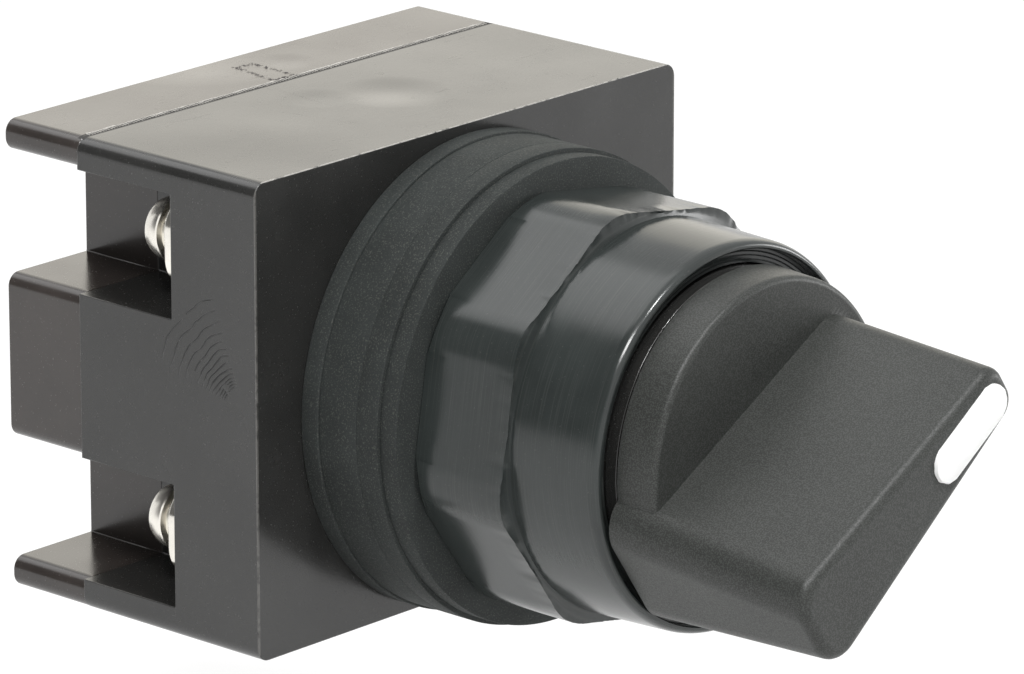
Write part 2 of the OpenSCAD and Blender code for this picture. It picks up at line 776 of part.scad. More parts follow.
module return_spring(tip_y, level) {
  translate([0, 0, level * coil_z])
    coil_spring(return_coil_d, return_wire, 5, tip_y + plunger_end - return_pocket, cover_inner_y);
}

// A terminal strip: a wide pad under the screw and a narrow tongue to the contact
module terminal(side, level) {
  pad_l = recess_in - strip_setback;
  pad_x = side * (recess_x + pad_l / 2);
  x0 = side > 0 ? tongue_x : -recess_x - strip_corner_r;
  color([0.85, 0.8, 0.65]) difference() {
    union() {
      translate([pad_x, 0, block_z + level * recess_z + terminal_rise])
        along_y(floor_y, strip_rear_y) rounded_rect(pad_l - 2 * thread_gap, strip_h, strip_corner_r);
      box(x0, x0 + recess_x + strip_corner_r - tongue_x, floor_y, strip_rear_y,
          level * contact_z - tongue_h / 2, level * contact_z + tongue_h / 2);
    }
    at_terminal(side, level) bore(screw_d, floor_y - over, strip_rear_y + over);
  }
}

module terminal_screw(side, level) {
  head_y = strip_rear_y + screw_lift;
  r = screw_head_d / 2;
  dome_r = (r * r + screw_dome_h * screw_dome_h) / (2 * screw_dome_h);
  top = head_y + screw_head_h + screw_dome_h;
  color([0.85, 0.85, 0.83]) at_terminal(side, level) difference() {
    union() {
      bore(screw_d - 2 * thread_gap, head_y - screw_l, head_y + over);
      intersection() {
        bore(screw_head_d, head_y, top);
        translate([0, top - dome_r, 0]) rotate([-90, 0, 0]) sphere(dome_r);
      }
    }
    box(-r - over, r + over, top - slot_depth, top + over, -slot_w / 2, slot_w / 2);
  }
}

front_housing();
rear_cover();
gasket_rear();
gasket_spacer();
gasket_middle();
gasket_front();
ring_nut();
knob();
index_insert();
stem_seal();
rotor();
rotor_screw();
detent_spring();
plunger(pressed_y, 1);  // plunger_upper
plunger(released_y, -1);  // plunger_lower
contact_bridge(pressed_y, 1);  // contact_bridge_upper
contact_bridge(released_y, -1);  // contact_bridge_lower
bridge_contact(-1, pressed_y, 1);  // bridge_contact_upper_left
bridge_contact(1, pressed_y, 1);  // bridge_contact_upper_right
bridge_contact(-1, released_y, -1);  // bridge_contact_lower_left
bridge_contact(1, released_y, -1);  // bridge_contact_lower_right
contact_spring(pressed_y, 1);  // contact_spring_upper
contact_spring(released_y, -1);  // contact_spring_lower
return_spring(pressed_y, 1);  // return_spring_upper
return_spring(released_y, -1);  // return_spring_lower
fixed_contact(-1, 1);  // fixed_contact_upper_left
fixed_contact(1, 1);  // fixed_contact_upper_right
fixed_contact(-1, -1);  // fixed_contact_lower_left
fixed_contact(1, -1);  // fixed_contact_lower_right
terminal(-1, 1);  // terminal_upper_left
terminal(1, 1);  // terminal_upper_right
terminal(-1, -1);  // terminal_lower_left
terminal(1, -1);  // terminal_lower_right
terminal_screw(-1, 1);  // screw_upper_left
terminal_screw(1, 1);  // screw_upper_right
terminal_screw(-1, -1);  // screw_lower_left
terminal_screw(1, -1);  // screw_lower_right
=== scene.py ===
"""Looks of a two-position selector switch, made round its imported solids."""

import functools
import math

import bmesh
import bpy
from bpy.props import FloatProperty, FloatVectorProperty, IntProperty, PointerProperty
from mathutils import Matrix, Vector, noise


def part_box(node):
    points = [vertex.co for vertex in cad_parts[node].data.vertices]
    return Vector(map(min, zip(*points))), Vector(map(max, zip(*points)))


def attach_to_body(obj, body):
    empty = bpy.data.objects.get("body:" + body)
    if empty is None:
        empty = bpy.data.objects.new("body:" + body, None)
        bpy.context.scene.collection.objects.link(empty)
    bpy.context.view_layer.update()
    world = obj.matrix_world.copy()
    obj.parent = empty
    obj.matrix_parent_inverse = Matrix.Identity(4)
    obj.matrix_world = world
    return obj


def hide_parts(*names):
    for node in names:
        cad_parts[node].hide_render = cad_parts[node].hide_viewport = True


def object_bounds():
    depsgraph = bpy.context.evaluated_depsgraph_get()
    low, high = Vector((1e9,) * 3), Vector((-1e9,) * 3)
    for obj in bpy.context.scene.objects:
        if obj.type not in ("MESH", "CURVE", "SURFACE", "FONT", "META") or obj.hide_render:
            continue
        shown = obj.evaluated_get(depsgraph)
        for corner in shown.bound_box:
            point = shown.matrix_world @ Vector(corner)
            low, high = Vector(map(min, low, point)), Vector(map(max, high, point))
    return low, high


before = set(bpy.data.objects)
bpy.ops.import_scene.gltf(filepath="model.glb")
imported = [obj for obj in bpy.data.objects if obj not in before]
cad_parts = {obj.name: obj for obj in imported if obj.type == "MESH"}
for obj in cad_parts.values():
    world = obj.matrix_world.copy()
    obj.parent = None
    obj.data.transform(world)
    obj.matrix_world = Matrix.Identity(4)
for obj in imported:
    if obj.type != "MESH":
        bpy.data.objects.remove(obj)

bl_info = {
    "name": "Selector switch",
    "version": (1, 0, 0),
    "blender": (4, 5, 0),
    "location": "3D View > Sidebar > Switch",
    "description": "Makes the visible pieces, finishes and stage of a panel-mounted selector switch",
    "category": "Object",
}

MM = 0.001
CAD_BOX = [list(corner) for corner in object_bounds()]

# The knob's turn away from the upright in the rest position
POINTER = math.radians(34.0)
# Turns a ring or a grid so that it faces along the Y axis
FACE_Y = (math.pi / 2, 0.0, 0.0)

# Radius of the hole that the bushing's thread passes through, in millimetres
THREAD_BORE = 15.15
# Radius of the tiny hole that a turned piece keeps at its axis, in millimetres
AXIS = 0.001
# The upper end of the lever, from the knob's axis, in millimetres
LEVER_TIP = 13.1
# Outline of the screw's head: distance in from its rim, and height over its underside, in millimetres
SCREW_UNDERSIDE = ((0.7, 0.0), (0.65, 0.4), (0.1, 0.5), (0.0, 0.62))
SCREW_FLANK = ((0.0, 0.9), (0.06, 1.25), (0.15, 1.6), (0.26, 1.9), (0.4, 2.2), (0.6, 2.42))

# Shallow dents in the block's top: middle (x, y), radius and depth, in millimetres
BLOCK_DENTS = (((2.6, 22.2), 5.4, 0.17), ((-3.4, 25.6), 3.4, 0.06), ((-27.0, 15.0), 17.0, 0.3))
COVER_DENTS = (((3.6, 36.4), 3.0, 0.06), ((0.0, 44.0), 11.0, 0.35))
# Straight scratches in the block's top: start and stop (x, y), in millimetres
SCRATCHES = (((-3.9, 31.8), (-4.35, 24.4)), ((-3.5, 31.8), (-4.2, 24.8)), ((-8.8, 24.9), (-7.0, 17.2)))
SCRATCH_WIDTH = 0.12

# Corners of the torn patch (x, distance behind the seam), in millimetres
SCAR_CORNERS = ((-2.3, 0.15), (1.3, 0.25), (1.5, 6.4), (-1.1, 6.7))
# How far the weld reaches beside the seam, in metres
WELD_REACH = 0.00042

# Finish of each inner piece, by the start of its name
INNER_FINISHES = (
    ("rotor_screw", "steel"),
    ("rotor", "acetal"),
    ("stem_seal", "seal"),
    ("detent_spring", "steel"),
    ("plunger", "red"),
    ("contact_bridge", "copper"),
    ("bridge_contact", "silver"),
    ("fixed_contact", "silver"),
    ("contact_spring", "steel"),
    ("return_spring", "steel"),
)

# Lamps: name, property that scales them, place, size and power, in metres and watts, and tint
LAMPS = (
    ("back_lamp", "back", (0.62, 0.60, 0.30), (0.9, 0.5), 1.0, (1.0, 0.91, 0.70)),
    ("top_lamp", "top", (-0.07, 0.44, 0.78), (0.6, 0.6), 1.5, (1.0, 1.0, 1.0)),
    ("fill_lamp", "fill", (0.84, -0.42, 0.10), (0.36, 0.24), 2.2, (1.0, 1.0, 1.0)),
    ("key_lamp", "key", (-0.483, -0.276, 0.707), (0.28, 0.18), 4.0, (1.0, 1.0, 1.0)),
    ("edge_lamp", "key", (-0.09, -0.42, 0.86), (0.12, 0.12), 4.2, (1.0, 1.0, 1.0)),
)
CAMERA_PLACE = (-0.49056, -0.44239, 0.20855)
CAMERA_AIM = (0.70563, 0.64448, -0.29451)
CAMERA_LENS = 279.7
# Middle of the dark screen that reflections show, seen from the switch
SCREEN_SIDE = (-0.871, 0.352, 0.342)
# How far a direction has to agree with that middle to meet the screen's soft edge and its full dark
SCREEN_EDGE = (0.68, 0.82)


def colour(default, name, text):
    """A colour that the user can change."""
    limits = {"size": 3, "min": 0, "max": 1}
    return FloatVectorProperty(name=name, description=text, subtype="COLOR", default=default, **limits)


def length(default, name, text, low=0.0, high=0.1):
    """A length in metres that the user can change."""
    limits = {"min": low, "max": high, "precision": 5}
    return FloatProperty(name=name, description=text, unit="LENGTH", default=default, **limits)


def share(default, name, text, high=1.0):
    """A plain number from nought up that the user can change."""
    return FloatProperty(name=name, description=text, min=0, max=high, default=default)


class BlockLook(bpy.types.PropertyGroup):
    """Finish of the moulded contact block"""

    tint: colour((0.021, 0.021, 0.020), "Colour", "Colour of the front moulding")
    cover: colour((0.036, 0.030, 0.027), "Cover colour", "Colour of the rear cover")
    gloss: share(0.2, "Roughness", "Roughness of the moulded faces")
    edge: length(0.00012, "Edge", "Width of the softened edges")
    sink: share(0.35, "Sink marks", "Strength of the shallow sink marks on the faces", 4)
    # This colour also paints the pale edges of the mouldings, partly rubbing and partly a painted highlight.
    weld: colour((0.66, 0.64, 0.60), "Weld colour", "Colour of the stressed plastic along the seam")
    bead: length(0.00006, "Bead", "Radius of the fine bead along the seam")
    pitch: length(0.00034, "Weld pitch", "Distance between the ticks of the weld along the seam")


class GasketLook(bpy.types.PropertyGroup):
    """Sizes and finish of the gasket stack"""

    tint: colour((0.026, 0.030, 0.029), "Colour", "Colour of the rubber")
    edge: length(0.00008, "Edge", "Radius of the gaskets' edges")
    wave: length(0.00006, "Waviness", "How far the gaskets' rims wander")


class NutLook(bpy.types.PropertyGroup):
    """Sizes and finish of the ring nut"""

    tint: colour((0.026, 0.031, 0.030), "Colour", "Colour of the ring nut")
    flats: length(0.0361, "Across flats", "Width of the ring nut across its flats")
    corner: length(0.0061, "Corner radius", "Radius of the corners between the flats")
    turn: FloatProperty(
        name="Turn",
        description="Turn of the nut about its axis",
        unit="ROTATION",
        default=math.radians(35.7),
    )
    burr: length(0.00012, "Burr", "How ragged the turned step is")


class KnobLook(bpy.types.PropertyGroup):
    """Sizes and finish of the lever knob"""

    tint: colour((0.027, 0.029, 0.0265), "Colour", "Colour of the knob")
    index: colour((0.96, 0.96, 0.955), "Index colour", "Colour of the index insert")
    grain: share(0.25, "Grain", "Strength of the moulded grain", 2)
    soft_edge: length(0.001, "Edge radius", "Radius of the lever's front edges")


class MetalLook(bpy.types.PropertyGroup):
    """Finish of the terminals and the inner metal pieces"""

    nickel: colour((0.90, 0.87, 0.80), "Nickel", "Colour of the plated terminals")
    copper: colour((0.80, 0.47, 0.27), "Copper", "Colour of the contact bridges")
    seed: IntProperty(name="Seed", description="Seed for the way the screw slots point", default=4, min=0)


class StageLook(bpy.types.PropertyGroup):
    """Floor, lamps and camera"""

    drop: length(0.03, "Floor drop", "Distance from the switch down to the floor", high=0.5)
    world: share(0.3, "World light", "Strength of the even light from all round", 4)
    screen: share(0.12, "Screen", "Brightness of the dark screen that reflections show behind on the left")
    back: share(1.0, "Back light", "Power of the lamp behind", 50)
    top: share(1.0, "Top light", "Power of the lamp overhead", 50)
    fill: share(1.0, "Fill light", "Power of the lamp in front on the right", 50)
    key: share(1.0, "Key light", "Power of the small lamps in front, one on the left and one high up", 50)
    floor: colour((0.9, 0.9, 0.9), "Floor", "Colour of the floor")


LOOKS = {
    "switch_block": BlockLook,
    "switch_gasket": GasketLook,
    "switch_nut": NutLook,
    "switch_knob": KnobLook,
    "switch_metal": MetalLook,
    "switch_stage": StageLook,
}


# Shader trees


class Tree:
    """Short calls that add and join the nodes of one tree."""

    def __init__(self, tree):
        self.tree = tree

    def add(self, kind, inputs=None, **settings):
        """A new node with its settings, and its inputs set to values or joined to sockets."""
        node = self.tree.nodes.new(kind)
        for name, value in settings.items():
            setattr(node, name, value)
        for name, value in (inputs or {}).items():
            self.set(node.inputs[name], value)
        return node

    def get(self, kind, inputs=None, **settings):
        """The first output of a new node."""
        return self.add(kind, inputs, **settings).outputs[0]

    def set(self, socket, value):
        """Sets a socket to a value, or joins it to another socket."""
        if isinstance(value, bpy.types.NodeSocket):
            self.tree.links.new(value, socket)
        else:
            socket.default_value = value

    def math(self, operation, a, b=0.0, clamp=False):
        """The result of one sum."""
        return self.get("ShaderNodeMath", {0: a, 1: b}, operation=operation, use_clamp=clamp)

    def product(self, *values):
        """All the values multiplied."""
        return functools.reduce(lambda a, b: self.math("MULTIPLY", a, b), values)

    def total(self, *values):
        """All the values added."""
        return functools.reduce(lambda a, b: self.math("ADD", a, b), values)

    def away(self, value, middle):
        """How far a value is from a middle."""
        return self.math("ABSOLUTE", self.math("SUBTRACT", value, middle))

    def vector(self, operation, a, b=(0.0, 0.0, 0.0)):
        """The result of one vector sum, as a number where the sum gives one."""
        node = self.add("ShaderNodeVectorMath", {0: a, 1: b}, operation=operation)
        return node.outputs["Value" if operation in ("LENGTH", "DISTANCE", "DOT_PRODUCT") else "Vector"]

    def scaled(self, vector, amount):
        """A vector times a number."""
        return self.get("ShaderNodeVectorMath", {0: vector, "Scale": amount}, operation="SCALE")

    def split(self, vector):
        """The X, Y and Z of a vector."""
        return self.add("ShaderNodeSeparateXYZ", {0: vector}).outputs

    def join(self, x=0.0, y=0.0, z=0.0):
        """A vector from three numbers."""
        return self.get("ShaderNodeCombineXYZ", {0: x, 1: y, 2: z})

    def noise(self, vector, scale, detail=2.0, rough=0.5):
        """A noise value at a scale in features a metre."""
        inputs = {"Vector": vector, "Scale": scale, "Detail": detail, "Roughness": rough}
        return self.get("ShaderNodeTexNoise", inputs)

    def remap(self, value, low, high, to_low=0.0, to_high=1.0, smooth=False):
        """A value stretched from one range to another and clamped."""
        inputs = {0: value, 1: low, 2: high, 3: to_low, 4: to_high}
        return self.get("ShaderNodeMapRange", inputs, interpolation_type="SMOOTHSTEP" if smooth else "LINEAR")

    def mix(self, factor, a, b):
        """A colour between two others."""
        return self.add("ShaderNodeMix", {0: factor, 6: a, 7: b}, data_type="RGBA").outputs[2]


def add_sockets(tree, side, sockets):
    """Adds named sockets to a tree, each of the kind of its default value."""
    kinds = {float: "NodeSocketFloat", int: "NodeSocketInt", tuple: "NodeSocketVector"}
    for title, default in sockets.items():
        socket = tree.interface.new_socket(name=title, in_out=side, socket_type=kinds[type(default)])
        socket.default_value = default


def group_tree(name, inputs, outputs):
    """An empty shader group with named inputs and named numbers as outputs."""
    tree = bpy.data.node_groups.new(name, "ShaderNodeTree")
    add_sockets(tree, "INPUT", {"Vector": (0.0, 0.0, 0.0), **inputs})
    add_sockets(tree, "OUTPUT", dict.fromkeys(outputs, 0.0))
    nodes = Tree(tree)
    return nodes, nodes.add("NodeGroupInput").outputs, nodes.add("NodeGroupOutput").inputs


def make_grain_group():
    """Moulded grain: a fine relief, and the light specks of dust and scuffing that lie on it."""
    t, given, out = group_tree(
        "moulded_grain",
        {"Grain size": 4000.0, "Speck size": 2600.0, "Speck share": 0.08, "Blotch size": 90.0},
        ("Height", "Specks", "Blotches"),
    )
    where = given["Vector"]
    specks = t.noise(where, given["Speck size"], 1.0)
    edge = t.math("SUBTRACT", 0.78, given["Speck share"])
    specks = t.math("MULTIPLY", t.math("SUBTRACT", specks, edge), 12.0, clamp=True)
    blotch = t.noise(where, given["Blotch size"], 4.0, 0.55)
    t.set(out["Height"], t.noise(where, given["Grain size"], 3.0, 0.6))
    t.set(out["Specks"], specks)
    t.set(out["Blotches"], t.remap(blotch, 0.3, 0.7))
    return t.tree


def make_scratch_group():
    """Thin crossing scratches, and a broad ripple such as sink marks give a moulded face."""
    t, given, out = group_tree(
        "moulded_ripple",
        {"Ripple size": 70.0, "Scratch size": 120.0, "Scratch share": 0.02},
        ("Ripple", "Scratches"),
    )
    where = given["Vector"]
    ripple = t.noise(where, given["Ripple size"], 1.0, 0.4)
    width = t.product(given["Scratch share"], 0.2)
    marks = None
    for turn, stretch in ((0.5, 22.0), (-0.9, 30.0), (1.9, 26.0)):
        inputs = {"Vector": where, "Rotation": (turn, turn * 0.7, turn), "Scale": (1.0, stretch, 1.0)}
        line = t.noise(t.get("ShaderNodeMapping", inputs), given["Scratch size"], 0.0, 0.5)
        thin = t.math("LESS_THAN", t.away(line, 0.62), width)
        marks = thin if marks is None else t.math("MAXIMUM", marks, thin)
    gate = t.remap(t.noise(where, 260.0, 2.0, 0.6), 0.52, 0.6)
    t.set(out["Ripple"], ripple)
    t.set(out["Scratches"], t.product(marks, gate))
    return t.tree


def make_edge_group():
    """Pale, broken rubbing along the edges of a box-shaped moulding, partly a painted edge highlight."""
    corner = (0.0, 0.0, 0.0)
    t, given, out = group_tree("worn_edges", {"Low": corner, "High": corner, "Width": 0.00016}, ("Wear",))
    where = given["Vector"]
    from_low = t.vector("SUBTRACT", where, given["Low"])
    from_high = t.vector("SUBTRACT", given["High"], where)
    a, b, c = t.split(t.vector("MINIMUM", from_low, from_high))
    second = t.math("MAXIMUM", t.math("MINIMUM", a, b), t.math("MINIMUM", t.math("MAXIMUM", a, b), c))
    edge_band = t.math("LESS_THAN", second, given["Width"])
    broken = t.remap(t.noise(where, 1100.0, 3.0, 0.7), 0.26, 0.5)
    t.set(out["Wear"], t.product(edge_band, broken))
    return t.tree


def make_turning_group():
    """Fine rings round the Y axis, such as a lathe tool leaves."""
    t, given, out = group_tree("turning_lines", {"Pitch": 0.0002, "Wander": 0.3}, ("Height", "Streaks"))
    parts = t.split(given["Vector"])
    wander = t.product(t.noise(given["Vector"], 300.0), given["Wander"])
    along = t.total(t.math("DIVIDE", parts["Y"], given["Pitch"]), wander)
    rings = t.get("ShaderNodeTexNoise", {"W": along, "Scale": 1.0, "Detail": 2.0}, noise_dimensions="1D")
    angle = t.math("ARCTAN2", parts["Z"], parts["X"])
    streak = t.noise(t.join(t.product(angle, 1.6), t.product(along, 2.6)), 1.0, 3.0)
    t.set(out["Height"], rings)
    t.set(out["Streaks"], t.remap(streak, 0.52, 0.72))
    return t.tree


GROUPS = {}


def group_node(t, name, **inputs):
    """The outputs of one placed copy of a shared group."""
    node = t.add("ShaderNodeGroup", node_tree=GROUPS[name])
    for title, value in inputs.items():
        t.set(node.inputs[title.replace("_", " ")], value)
    return node.outputs


def grain_node(t, where, size, specks, share, blotches):
    """The grain group with its sizes in features a metre and the share that its specks cover."""
    sizes = {"Grain_size": size, "Speck_size": specks, "Speck_share": share, "Blotch_size": blotches}
    return group_node(t, "moulded_grain", Vector=where, **sizes)


def new_material(name):
    """A material with its tree, its shader node and the object coordinates."""
    material = bpy.data.materials.new(name)
    material.use_nodes = True
    t = Tree(material.node_tree)
    shader = material.node_tree.nodes["Principled BSDF"]
    where = t.add("ShaderNodeTexCoord").outputs["Object"]
    return material, t, shader.inputs, where


def rgba(tint, gain=1.0):
    """A colour with alpha, brightened or darkened."""
    return tuple(min(c * gain, 1.0) for c in tint) + (1.0,)


def mottled(t, grain, tint, low, high):
    """A colour that is darker and lighter in broad blotches."""
    return t.mix(grain["Blotches"], rgba(tint, low), rgba(tint, high))


def marked(t, mask, amount, base, tint):
    """A colour with marks of another colour on it."""
    return t.mix(t.product(mask, amount), base, rgba(tint))


def bump(t, height, distance, strength=1.0, normal=None):
    """A normal bent by a height, with the distance in metres."""
    inputs = {"Height": height, "Distance": distance, "Strength": strength}
    if normal is not None:
        inputs["Normal"] = normal
    return t.get("ShaderNodeBump", inputs)


def dents(t, parts, places):
    """Height of shallow round dents in the top face, in metres."""
    flat = t.join(parts["X"], parts["Y"])
    heights = []
    for (x, y), radius, depth in places:
        reach = t.vector("DISTANCE", flat, (x * MM, y * MM, 0.0))
        heights.append(t.remap(reach, 0.0, radius * MM, -depth * MM, 0.0, smooth=True))
    return t.total(*heights)


def scratch_mark(t, where, start, stop):
    """A mask along one straight scratch in the top face."""
    run = Vector(stop) - Vector(start)
    half = run.length * MM / 2
    moved = t.vector("SUBTRACT", where, (start[0] * MM, start[1] * MM, 0.0))
    turn = {"Vector": moved, "Rotation": (0.0, 0.0, -math.atan2(run.y, run.x))}
    parts = t.split(t.get("ShaderNodeMapping", turn))
    inside = t.math("LESS_THAN", t.away(parts["X"], half), half)
    bend = t.product(t.math("SUBTRACT", t.noise(where, 300.0), 0.5), 0.0003)
    thin = t.math("LESS_THAN", t.math("ABSOLUTE", t.total(parts["Y"], bend)), SCRATCH_WIDTH * MM / 2)
    return t.product(inside, thin)


def flow_marks(t, where):
    """Thin nested arcs on the left face, such as cold plastic leaves round a corner as the mould fills."""
    middle, left_face = (0.0, 0.0122, 0.0020), -0.0268
    rings_per_e = 8.5
    parts = t.split(t.vector("SUBTRACT", where, middle))
    reach = t.vector("LENGTH", t.join(y=parts["Y"], z=parts["Z"]))
    wander = t.product(t.math("SUBTRACT", t.noise(where, 260.0), 0.5), 0.0012)
    reach = t.total(reach, wander)
    ring = t.math("LOGARITHM", t.math("MAXIMUM", t.math("DIVIDE", reach, MM), 0.4), math.e)
    off = t.away(t.math("FRACT", t.product(ring, rings_per_e)), 0.5)
    off = t.product(off, t.math("DIVIDE", reach, rings_per_e))
    line = t.remap(off, 0.00003, 0.0001, 1.0, 0.0)
    angle = t.math("ARCTAN2", parts["Z"], parts["Y"])
    sector = t.remap(t.away(angle, 0.72), 0.25, 0.55, 1.0, 0.0)
    fading = t.remap(reach, 0.003, 0.011, 1.0, 0.55)
    span = t.math("LESS_THAN", t.away(reach, 0.0065), 0.0045)
    broken = t.remap(t.noise(where, 480.0, 2.0, 0.6), 0.36, 0.44)
    side = t.math("LESS_THAN", parts["X"], left_face)
    return t.product(line, sector, fading, span, broken, side)


def moulded_black(look, name, tint, low, high, seam):
    """Glossy black moulding with sink marks, dust, light scratches, and pale edges that are partly rubbed and
    partly a painted highlight.
    """
    material, t, shader, where = new_material(name)
    shader["IOR"].default_value = 1.6
    grain = grain_node(t, where, 3500.0, 5200.0, 0.09, 120.0)
    marks = group_node(t, "moulded_ripple", Vector=where, Ripple_size=75.0, Scratch_size=60.0)
    # Edge mask for rubbed places and a painted edge highlight.
    rubbed_and_highlit = group_node(t, "worn_edges", Vector=where, Low=low, High=high, Width=look.edge * 0.75)["Wear"]
    parts = t.split(where)
    upper = t.math("GREATER_THAN", parts["Z"], high[2] - 0.2 * MM)
    scratch = t.product(marks["Scratches"], upper)
    # Painted highlight: the pale edges are made stronger along the top than down the sides, where the light
    # catches them.
    rubbed_and_highlit = t.product(rubbed_and_highlit, t.remap(upper, 0.0, 1.0, 0.12, 0.6))
    # A darker, rougher band along the seam over the top, beneath the weld's ticks.
    seam_band = t.product(t.math("LESS_THAN", t.away(parts["Y"], seam + 0.0001), WELD_REACH), upper)
    base = mottled(t, grain, tint, 0.8, 1.25)
    base = marked(t, grain["Specks"], 0.16, base, (0.22, 0.22, 0.21))
    base = marked(t, scratch, 0.12, base, (0.3, 0.28, 0.25))
    # Pale edges in the weld colour, partly rubbing and partly a painted edge highlight.
    base = t.mix(rubbed_and_highlit, base, rgba(look.weld))
    base = t.mix(seam_band, base, rgba((0.012, 0.011, 0.01)))
    height = t.product(marks["Ripple"], 0.0004 * look.sink)
    rough = t.total(
        t.remap(grain["Blotches"], 0.0, 1.0, look.gloss * 0.8, look.gloss * 1.3),
        t.product(t.math("MAXIMUM", scratch, grain["Specks"]), 0.12),
        t.product(rubbed_and_highlit, 0.25),
        t.product(seam_band, 0.4),
    )
    if name == "block_moulding":
        lines = flow_marks(t, where)
        base = t.mix(t.product(lines, 0.75), base, rgba(tint, 0.3))
        rough = t.total(rough, t.product(lines, 0.5))
        height = t.total(height, dents(t, parts, BLOCK_DENTS), t.product(lines, -0.00009))
        for start, stop in SCRATCHES:
            mark = t.product(scratch_mark(t, where, start, stop), upper)
            base = marked(t, mark, 0.5, base, (0.02, 0.018, 0.016))
            height = t.total(height, t.product(mark, -0.00001))
    else:
        height = t.total(height, dents(t, parts, COVER_DENTS))
    t.set(shader["Base Color"], base)
    t.set(shader["Roughness"], rough)
    t.set(shader["Normal"], bump(t, grain["Height"], 0.000003, 0.6, bump(t, height, 1.0)))
    return material


def turned_plastic(look):
    """Semi-gloss plastic with turning marks."""
    material, t, shader, where = new_material("nut_plastic")
    grain = grain_node(t, where, 4000.0, 5200.0, 0.08, 140.0)
    lines = group_node(t, "turning_lines", Vector=where, Pitch=0.00022, Wander=0.35)
    base = mottled(t, grain, look.tint, 0.85, 1.2)
    base = marked(t, lines["Streaks"], 0.22, base, (0.11, 0.115, 0.105))
    t.set(shader["Base Color"], marked(t, grain["Specks"], 0.15, base, (0.2, 0.2, 0.19)))
    t.set(shader["Roughness"], t.remap(grain["Blotches"], 0.0, 1.0, 0.16, 0.24))
    rings = bump(t, lines["Height"], 0.00001, 0.5)
    t.set(shader["Normal"], bump(t, grain["Height"], 0.000004, 0.5, rings))
    return material


def even_finish(name, tint, sizes, mottle, rough, relief, specks=None, by="Blotches", **settings):
    """A finish of one colour, mottled, with a fine relief and in places light specks.

    Its roughness follows the blotches or the height of the grain.
    """
    material, t, shader, where = new_material(name)
    grain = grain_node(t, where, *sizes)
    base = mottled(t, grain, tint, *mottle)
    if specks:
        base = marked(t, grain["Specks"], specks[0], base, specks[1])
    span = (0.0, 1.0) if by == "Blotches" else (0.3, 0.7)
    t.set(shader["Base Color"], base)
    t.set(shader["Roughness"], t.remap(grain[by], *span, *rough))
    t.set(shader["Normal"], bump(t, grain["Height"], *relief))
    for title, value in settings.items():
        shader[title.replace("_", " ")].default_value = value
    return material


def bright_metal(name, tint, rough):
    """Plated or bare metal, a little uneven."""
    sizes, span = (5000.0, 2600.0, 0.02, 500.0), (rough * 0.7, rough * 1.5)
    return even_finish(name, tint, sizes, (0.86, 1.06), span, (0.000004, 0.5), Metallic=1.0)


def inner_moulding(name, tint, rough):
    """Unpainted moulding inside the block."""
    sizes, span = (3000.0, 2500.0, 0.03, 200.0), (rough * 0.85, rough * 1.15)
    return even_finish(name, tint, sizes, (0.9, 1.05), span, (0.00001, 0.4))


def weld_plastic(look, seam):
    """Stressed plastic of the weld: a pale bead beside darker ticks."""
    material, t, shader, where = new_material("weld_pale")
    pale = t.math("GREATER_THAN", t.split(where)["Y"], seam + WELD_REACH)
    mottle = t.remap(t.noise(where, 2500.0, 2.0, 0.6), 0.35, 0.65)
    base = t.mix(pale, rgba(look.weld, 0.6), rgba(look.weld, 0.9))
    t.set(shader["Base Color"], t.mix(t.product(mottle, 0.3), base, rgba(look.weld, 0.35)))
    t.set(shader["Roughness"], t.remap(mottle, 0.0, 1.0, 0.35, 0.6))
    return material


# Meshes


def new_object(mesh, name):
    """An object at the origin that shows a mesh."""
    made = bpy.data.objects.new(name, mesh)
    bpy.context.scene.collection.objects.link(made)
    return made


def smooth(mesh, angle):
    """Shades a mesh smooth, with sharp edges past an angle in degrees."""
    mesh.shade_smooth()
    mesh.set_sharp_from_angle(angle=math.radians(angle))


def level_normals(made):
    """Keeps flat faces flat in shading beside their rounded edges."""
    modifier = made.modifiers.new("Level normals", "WEIGHTED_NORMAL")
    modifier.keep_sharp = True
    modifier.weight = 60


def round_edges(made, width, angle):
    """Rounds the edges that are sharper than an angle in degrees."""
    modifier = made.modifiers.new("Edges", "BEVEL")
    modifier.width = width
    modifier.segments = 2
    modifier.limit_method = "ANGLE"
    modifier.angle_limit = math.radians(angle)
    return modifier


def finished_mesh(bm, name):
    """A mesh from edited faces."""
    mesh = bpy.data.meshes.new(name)
    bm.to_mesh(mesh)
    bm.free()
    return mesh


def mesh_from_rows(rows, name, cap=True):
    """A mesh through rings of points in millimetres, capped at its ends or joined end to end."""
    bm = bmesh.new()
    rings = [[bm.verts.new([c * MM for c in p]) for p in row] for row in rows]
    for a, b in zip(rings, rings[1:] + ([] if cap else [rings[0]])):
        for i in range(len(a)):
            j = (i + 1) % len(a)
            bm.faces.new((a[i], a[j], b[j], b[i]))
    if cap:
        bm.faces.new(rings[0])
        bm.faces.new(reversed(rings[-1]))
    bmesh.ops.remove_doubles(bm, verts=bm.verts, dist=1e-8)
    bmesh.ops.recalc_face_normals(bm, faces=bm.faces)
    return finished_mesh(bm, name)


def lathe_rows(profile, steps):
    """Rows of points for a profile of (radius, y) turned about the Y axis."""
    turns = [2 * math.pi * i / steps for i in range(steps)]
    return [[(r * math.cos(a), y, r * math.sin(a)) for a in turns] for r, y in profile]


def cad_copy(node, name):
    """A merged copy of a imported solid, with each flat region as few faces."""
    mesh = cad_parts[node].data.copy()
    mesh.name = name
    mesh.materials.clear()
    bm = bmesh.new()
    bm.from_mesh(mesh)
    bmesh.ops.remove_doubles(bm, verts=bm.verts, dist=1e-6)
    bmesh.ops.dissolve_limit(bm, angle_limit=math.radians(0.4), verts=bm.verts, edges=bm.edges)
    bm.to_mesh(mesh)
    bm.free()
    return mesh


